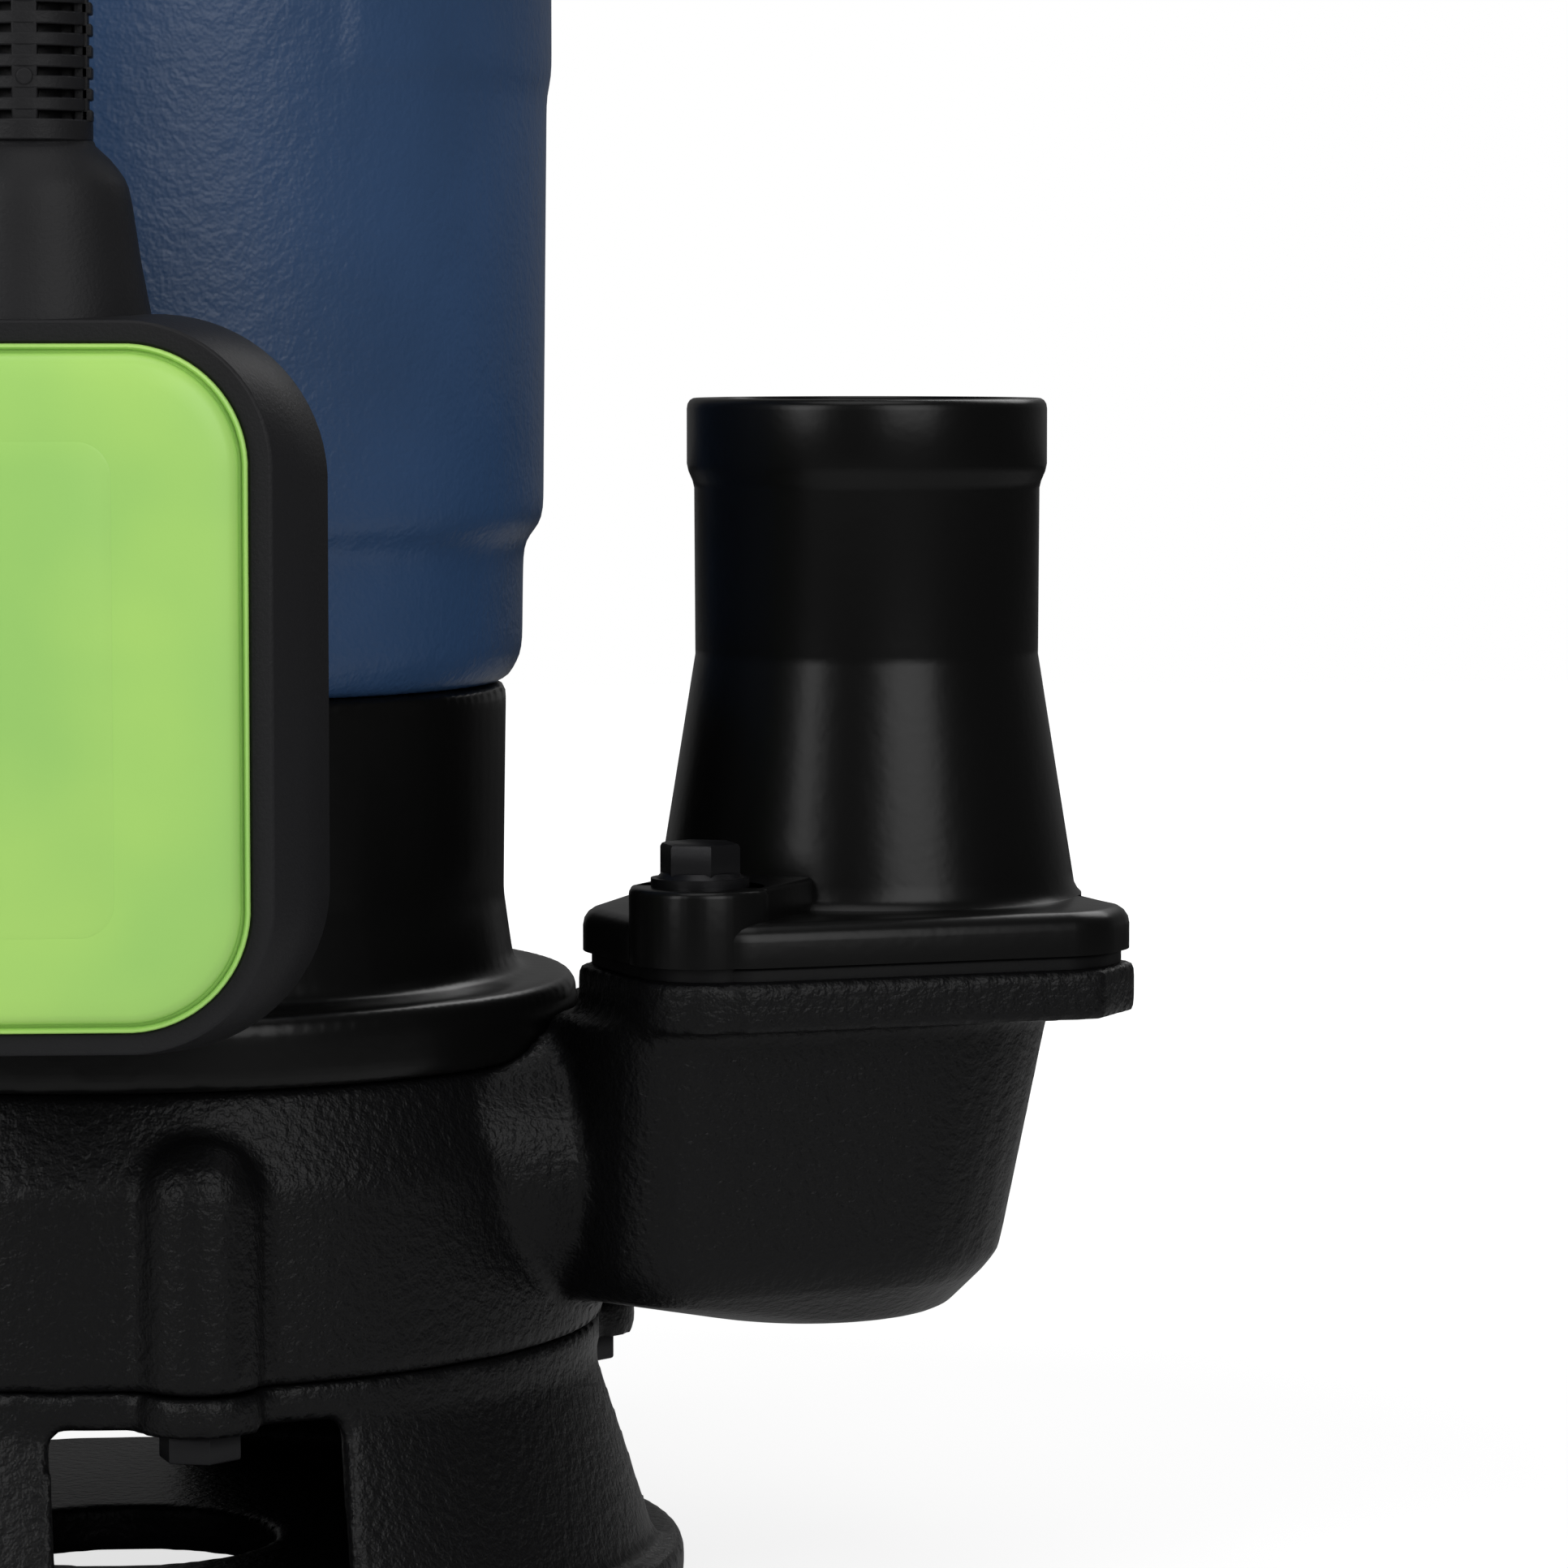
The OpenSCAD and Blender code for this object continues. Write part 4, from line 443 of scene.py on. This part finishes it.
# --- Top cover, handle and glands ---
# The cover is cast and enamelled with the casing; the handle is a bent bar welded to two feet. Nylon glands
# with rubber bushes grip the cables, and a steel clip on the cover's edge holds the float lead.

# Bright zinc plating: silvery, a little soft in its reflections
zinc, tree, shader = new_material("zinc_plate", "#a9adb2", 0.3, metallic=1.0)
grain(tree, shader, 0.6, 0.02)

dress(blue, "top_cover", "handle")
dress(zinc, "cover_bolts", "handle_bolts", "lead_clip_screws")
dress(black_plastic, "gland_bodies", "gland_nuts")
dress(rubber, "gland_bushes")
dress(stainless, "lead_clip")


# --- Check valve and outlet ---
# A rubber flap with a steel weight hangs on a pin under the outlet. The adapter is a smooth cone and threaded
# collar on a flange, drawn down on a rubber gasket by two flange-head bolts.
OUTLET_AT = Vector((142.0995, -9.8861, 0)) * MM
OUTLET_TURN = 17
OUTLET = Matrix.Translation(OUTLET_AT) @ Matrix.Rotation(math.radians(OUTLET_TURN), 4, "Z")
BORE_R = 36
FLANGE_Z = 125
PLATE_H = 8
PLATE_CORNER = 6
PLATE_EDGE = 3.4
PAD_H = 6
PAD_SINK = 2
BOSS_R = 13
BOSS_FACE = FLANGE_Z + PLATE_H + PAD_H
BOSSES = [(-49, -40.5), (24, 44)]
FLANGE_PLAN = [(-62, -40.5), (-48.5, -54.5), (25, -55), (37, -43), (37, 44), (24, 57), (10, 54.7),
               (-22, 46.5), (-62, -10)]
PAD_PLANS = [[(9, -9.4), (24, 7), (27, 11), (18, 20), (12, 32.2), (-12, 6)],
             [(9, -9.4), (24, 7), (11.5, 8.5), (-1.9, 17.7), (-12, 6)]]
# Radius and height: the flange's hub, the cone, the plain length, the collar with its lip, the thread's bore
CONE = [(36, 125), (41, 125), (41, 133), (40.3, 133.7), (39.6, 135), (39.2, 137.5),
        (32.75, 177.6), (32.6, 178.5), (32.62, 179.5), (32.8, 210), (33.1, 211.3), (33.9, 213.2),
        (34.2, 214.6), (34.2, 225), (34.05, 225.9), (33.6, 226.6), (33, 226.95), (32.6, 227), (28.6, 227),
        (28.33, 226.6), (28.33, 203), (27.5, 202.5), (27.5, 178.5), (36, 133), (36, 125)]
GASKET_H = 2.6
GASKET_SHARE = 0.97
SKIRT_R, SKIRT_H = 9, 1.6
SKIRT_HEAD_H = 7
SKIRT_HEAD_TURN = -5
SKIRT_BOLT_L = 25


def turned(points, segments=96):
    """A bmesh turned from a profile of radius and height in millimetres."""
    bm = bmesh.new()
    verts = [bm.verts.new((r * MM, 0, z * MM)) for r, z in points]
    edges = [bm.edges.new(pair) for pair in zip(verts, verts[1:])]
    bmesh.ops.spin(bm, geom=verts + edges, cent=(0, 0, 0), axis=(0, 0, 1), angle=2 * math.pi,
                   steps=segments, use_merge=True)
    bmesh.ops.remove_doubles(bm, verts=bm.verts, dist=1e-6)
    return bm


def add_plate(bm, plan, z, height, corner, rounding, hole=None):
    """Adds a flat plate from a plan with rounded corners and upper edge, and a hole if given."""
    verts = [bm.verts.new((x * MM, y * MM, z * MM)) for x, y in plan]
    face = bm.faces.new(verts)
    made = bmesh.ops.bevel(bm, geom=verts, offset=corner * MM, segments=6, profile=0.5, affect="VERTICES",
                           material=-1)
    face = max({f for v in made["verts"] for f in v.link_faces}, key=lambda f: f.calc_area())
    outer = list(face.edges)
    if hole is None:
        flat = [face]
    else:
        bm.faces.remove(face)
        ring = bmesh.ops.create_circle(bm, cap_ends=False, segments=len(outer), radius=hole * MM)["verts"]
        bmesh.ops.translate(bm, verts=ring, vec=(0, 0, z * MM))
        inner = list({e for v in ring for e in v.link_edges})
        flat = bmesh.ops.bridge_loops(bm, edges=outer + inner)["faces"]
    raised = bmesh.ops.extrude_face_region(bm, geom=flat, use_keep_orig=True)["geom"]
    top = [v for v in raised if isinstance(v, bmesh.types.BMVert)]
    bmesh.ops.translate(bm, verts=top, vec=(0, 0, height * MM))
    rim = {e for v in top for e in v.link_edges if all(w in top for w in e.verts)}
    reach = (hole or 0) * MM + 1e-4
    rim = [e for e in rim if all(w.co.xy.length > reach for w in e.verts)
           and any(len({w in top for w in f.verts}) > 1 for f in e.link_faces)]
    bmesh.ops.bevel(bm, geom=rim, offset=rounding * MM, segments=4, profile=0.5, affect="EDGES",
                    material=-1)


# Cut gasket rubber: matt black rubber, painted darker than the lead's sheath as painted shade of the narrow
# gap between the flanges
gasket_rubber, tree, shader = new_material("gasket_rubber", "#0b0b0c", 0.5, specular=0.2)
grain(tree, shader, 0.7, 0.03)

dress(rubber, "flap_disc")
dress(stainless, "flap_plate", "flap_pin")

bm = turned(CONE, 128)
add_plate(bm, FLANGE_PLAN, FLANGE_Z, PLATE_H, PLATE_CORNER, PLATE_EDGE, BORE_R)
for turn, plan, (x, y) in zip((0, math.pi), PAD_PLANS, BOSSES):
    pad = bmesh.new()
    add_plate(pad, plan, FLANGE_Z + PLATE_H - PAD_SINK, PAD_H + PAD_SINK, 2, 0.9)
    add_plate(pad, list(on_circle(48, BOSS_R)), FLANGE_Z, PLATE_H + PAD_H, 0.5, 1.3)
    bmesh.ops.transform(pad, matrix=Matrix.Translation((x * MM, y * MM, 0)) @ Matrix.Rotation(turn, 4, "Z"),
                        verts=pad.verts)
    pad_mesh = bpy.data.meshes.new("pad")
    pad.to_mesh(pad_mesh)
    pad.free()
    bm.from_mesh(pad_mesh)
bmesh.ops.transform(bm, matrix=OUTLET, verts=bm.verts)
finish_piece("adapter_casting", bm, smooth_paint, "root", "black_cast_iron", "outlet_adapter")

bm = bmesh.new()
add_plate(bm, FLANGE_PLAN, FLANGE_Z - GASKET_H, GASKET_H, PLATE_CORNER, 0.9, BORE_R - 2)
for x, y in BOSSES:
    add_round(bm, (x, y, FLANGE_Z - GASKET_H), BOSS_R - 0.4, GASKET_H)
bmesh.ops.scale(bm, vec=(GASKET_SHARE, GASKET_SHARE, 1), verts=bm.verts)
bmesh.ops.transform(bm, matrix=OUTLET, verts=bm.verts)
# The gasket's colour is darker than plain rubber: painted shade between the two flanges
finish_piece("gasket_sheet", bm, gasket_rubber, "root", "black_rubber", "outlet_gasket")

bm = bmesh.new()
for x, y in BOSSES:
    add_round(bm, (x, y, BOSS_FACE), SKIRT_R, SKIRT_H)
    add_round(bm, (x, y, BOSS_FACE + 1), SKIRT_R - 0.4, SKIRT_H, SKIRT_R - 2)
    add_hexagon(bm, (x, y, BOSS_FACE + 1), HEAD_8, SKIRT_HEAD_H, SKIRT_HEAD_TURN, 0.8)
    add_round(bm, (x, y, BOSS_FACE + 1 - SKIRT_BOLT_L), SHANK_R, SKIRT_BOLT_L)
bmesh.ops.transform(bm, matrix=OUTLET, verts=bm.verts)
finish_piece("outlet_bolt_set", bm, black_zinc, "root", "black_zinc", "outlet_bolts")


# --- Float switch ---
# Two crowned lime shells snap into a black grained frame, which is moulded with its round neck; a ribbed
# strain relief carries the lead. Inside, a steel ball rolls in a tube and presses the switch's lever.
SHELL_W, SHELL_H, SHELL_CORNER = 75, 117, 21
FRAME_W, FRAME_H, FRAME_CORNER = 102, 127, 29
FRAME_FOOT = 115.5
FLOAT_AT = Vector((-11, -108, FRAME_FOOT + FRAME_H / 2)) * MM
BAND = 3.9
PANEL_W, PANEL_H = 29, 84
# From the parting plane out: wall, rolled lip, groove, then the crown. Each row takes its first three values
# off the shell's width, height and corner, and ends with its place towards the front.
SHELL_ROWS = [(0, 0, 0, -0.1), (0, 0, 0, -21.2), (0.4, 0.4, 0.2, -21.6), (1.2, 1.2, 0.6, -21.7),
              (1.7, 1.7, 0.8, -21.4), (2.1, 2.1, 1, -20.4), (3, 3, 1.4, -20.6), (3.6, 3.6, 1.7, -21.9),
              (4.8, 4.8, 2.2, -22.7), (7, 7, 3, -23.2), (12, 12, 5, -23.6), (22, 19, 8, -24),
              (42, 31, 12, -24.3)]
SHELL = [(SHELL_W - w, SHELL_H - h, SHELL_CORNER - c, y) for w, h, c, y in SHELL_ROWS]
PANEL = [(PANEL_W, PANEL_H, 6, -23.5), (PANEL_W, PANEL_H, 6, -24.32),
         (PANEL_W - 1, PANEL_H - 1, 5.5, -24.45)]
EDGE = [(SHELL_W + 2 * BAND, SHELL_H + 2 * BAND, SHELL_CORNER + BAND, 20),
        (SHELL_W + 17.7, SHELL_H + 9, SHELL_CORNER + 7, 15), (FRAME_W, FRAME_H, FRAME_CORNER, 6)]
HOLE = [(SHELL_W + 0.2, SHELL_H + 0.2, SHELL_CORNER + 0.1, y) for y in (-20, 20)]
NECK = [(0, 58), (22, 58), (21.4, 61), (20.8, 64), (19.3, 72), (18.4, 78), (17.8, 82.2), (17.2, 85),
        (16.5, 86.7), (15.4, 88.3), (14, 90), (12.7, 91.2), (11.6, 92.2), (11.2, 93.3), (0, 93.3)]
NECK_DEPTH = 0.89
RIB_R, RIB_H, RIB_PITCH = 10.6, 2.25, 3.66
RIBS = 7
RIB_FOOT = 5
FOOT_R, FOOT_H = 11.2, 3.6
CORE_R, CORE_H = 6.5, 30.5
CORE_MID = 16
BUTTON_R, BUTTON_H = 1.5, 3
RELIEF_AT = Vector((FLOAT_AT.x, FLOAT_AT.y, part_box("float_strain_relief")[0].z))


def loft(bm, sections, closed=False):
    """Draws a rounded rectangle through sections of width, height, corner and depth, capped or closed."""
    ring = bmesh.ops.create_circle(bm, cap_ends=not closed, segments=72, radius=MM)["verts"]
    bmesh.ops.rotate(bm, verts=ring, matrix=Matrix.Rotation(math.pi / 72, 3, "Z"))
    bmesh.ops.rotate(bm, verts=ring, matrix=Matrix.Rotation(math.pi / 2, 3, "X"))
    last = (2, 2, 1, 0)  # The circle, as a section
    for number, section in enumerate(sections + sections[:1] if closed else sections):
        if number:
            edges = [e for e in {e for v in ring for e in v.link_edges} if all(v in ring for v in e.verts)]
            made = bmesh.ops.extrude_edge_only(bm, edges=edges)["geom"]
            ring = {v for v in made if isinstance(v, bmesh.types.BMVert)}
        for v in ring:
            for axis in (0, 2):
                side = axis // 2
                way = (abs(v.co[axis]) / MM - last[side] / 2 + last[2]) / last[2]
                reach = section[side] / 2 - section[2] + way * section[2]
                v.co[axis] = math.copysign(reach, v.co[axis]) * MM
            v.co.y = section[3] * MM
        last = section
    if not closed:
        edges = [e for e in {e for v in ring for e in v.link_edges} if all(v in ring for v in e.verts)]
        bmesh.ops.contextual_create(bm, geom=edges)


def add_block(bm, at, size):
    """Adds a block with its centre at a point."""
    made = bmesh.ops.create_cube(bm, size=MM)["verts"]
    bmesh.ops.scale(bm, vec=size, verts=made)
    bmesh.ops.translate(bm, vec=Vector(at) * MM, verts=made)


def round_edges(obj, width):
    """Rounds a moulded piece's edges with a bevel modifier."""
    bevel = obj.modifiers.new("edges", "BEVEL")
    bevel.width = width * MM
    bevel.segments = 2
    bevel.limit_method = "ANGLE"
    bevel.angle_limit = math.radians(30)
    bevel.harden_normals = False


# Moulded lime ABS: even, half-gloss, with a very fine spark-eroded grain and faint patches of tone
lime, tree, shader = new_material("lime_abs", "#9cc963", 0.36, specular=0.35)
mottle(tree, shader, "#a1cd66", "#93c364", 45)
grain(tree, shader, 0.5, 0.012, 2.0)

for name, side in (("front_shell", 1), ("rear_shell", -1)):
    bm = bmesh.new()
    loft(bm, SHELL)
    loft(bm, PANEL)
    bmesh.ops.scale(bm, vec=(1, side, 1), verts=bm.verts)
    bmesh.ops.translate(bm, vec=FLOAT_AT, verts=bm.verts)
    finish_piece("lime_" + name, bm, lime, "float", "green_plastic", "float_" + name)

bm = turned(NECK)
bmesh.ops.scale(bm, vec=(1, NECK_DEPTH, 1), verts=bm.verts)
loft(bm, EDGE + [(*section[:3], -section[3]) for section in reversed(EDGE)] + HOLE, closed=True)
bmesh.ops.translate(bm, vec=FLOAT_AT, verts=bm.verts)
float_frame = finish_piece("float_rim", bm, black_plastic, "float", "black_plastic", "float_frame")
round_edges(float_frame, 0.4)

# The relief's rings stand on a core, joined by spines in front and behind and by blocks at the sides
bm = bmesh.new()
add_round(bm, (0, 0, 0), FOOT_R, FOOT_H)
add_round(bm, (0, 0, 3), CORE_R, CORE_H)
for k in range(RIBS):
    add_round(bm, (0, 0, RIB_FOOT + k * RIB_PITCH), RIB_R, RIB_H)
add_block(bm, (0, 0, CORE_MID), (19, 5, 27))
for side in (-1, 1):
    add_block(bm, (0, side * 7.6, CORE_MID), (4.4, 5.6, 30))
    add_block(bm, (side * 9.9, 0, CORE_MID), (1.2, 7, 27))
    for k in range(RIBS):
        add_block(bm, (side * 9.6, 0, RIB_FOOT - 0.7 + k * RIB_PITCH), (3.2, 7, 2))
button = bmesh.ops.create_cone(bm, cap_ends=True, segments=32, radius1=BUTTON_R * MM,
                               radius2=BUTTON_R * MM, depth=BUTTON_H * MM)["verts"]
bmesh.ops.rotate(bm, verts=button, matrix=Matrix.Rotation(math.pi / 2, 3, "X"))
bmesh.ops.translate(bm, verts=button, vec=Vector((0, -9.3, 10.7)) * MM)
bmesh.ops.translate(bm, vec=RELIEF_AT, verts=bm.verts)
relief = finish_piece("float_relief", bm, black_plastic, "float", "black_plastic", "float_strain_relief")
round_edges(relief, 0.3)

dress(terminal_plastic, "float_ball_tube")
dress(stainless, "float_ball", "switch_lever")
dress(black_plastic, "micro_switch")
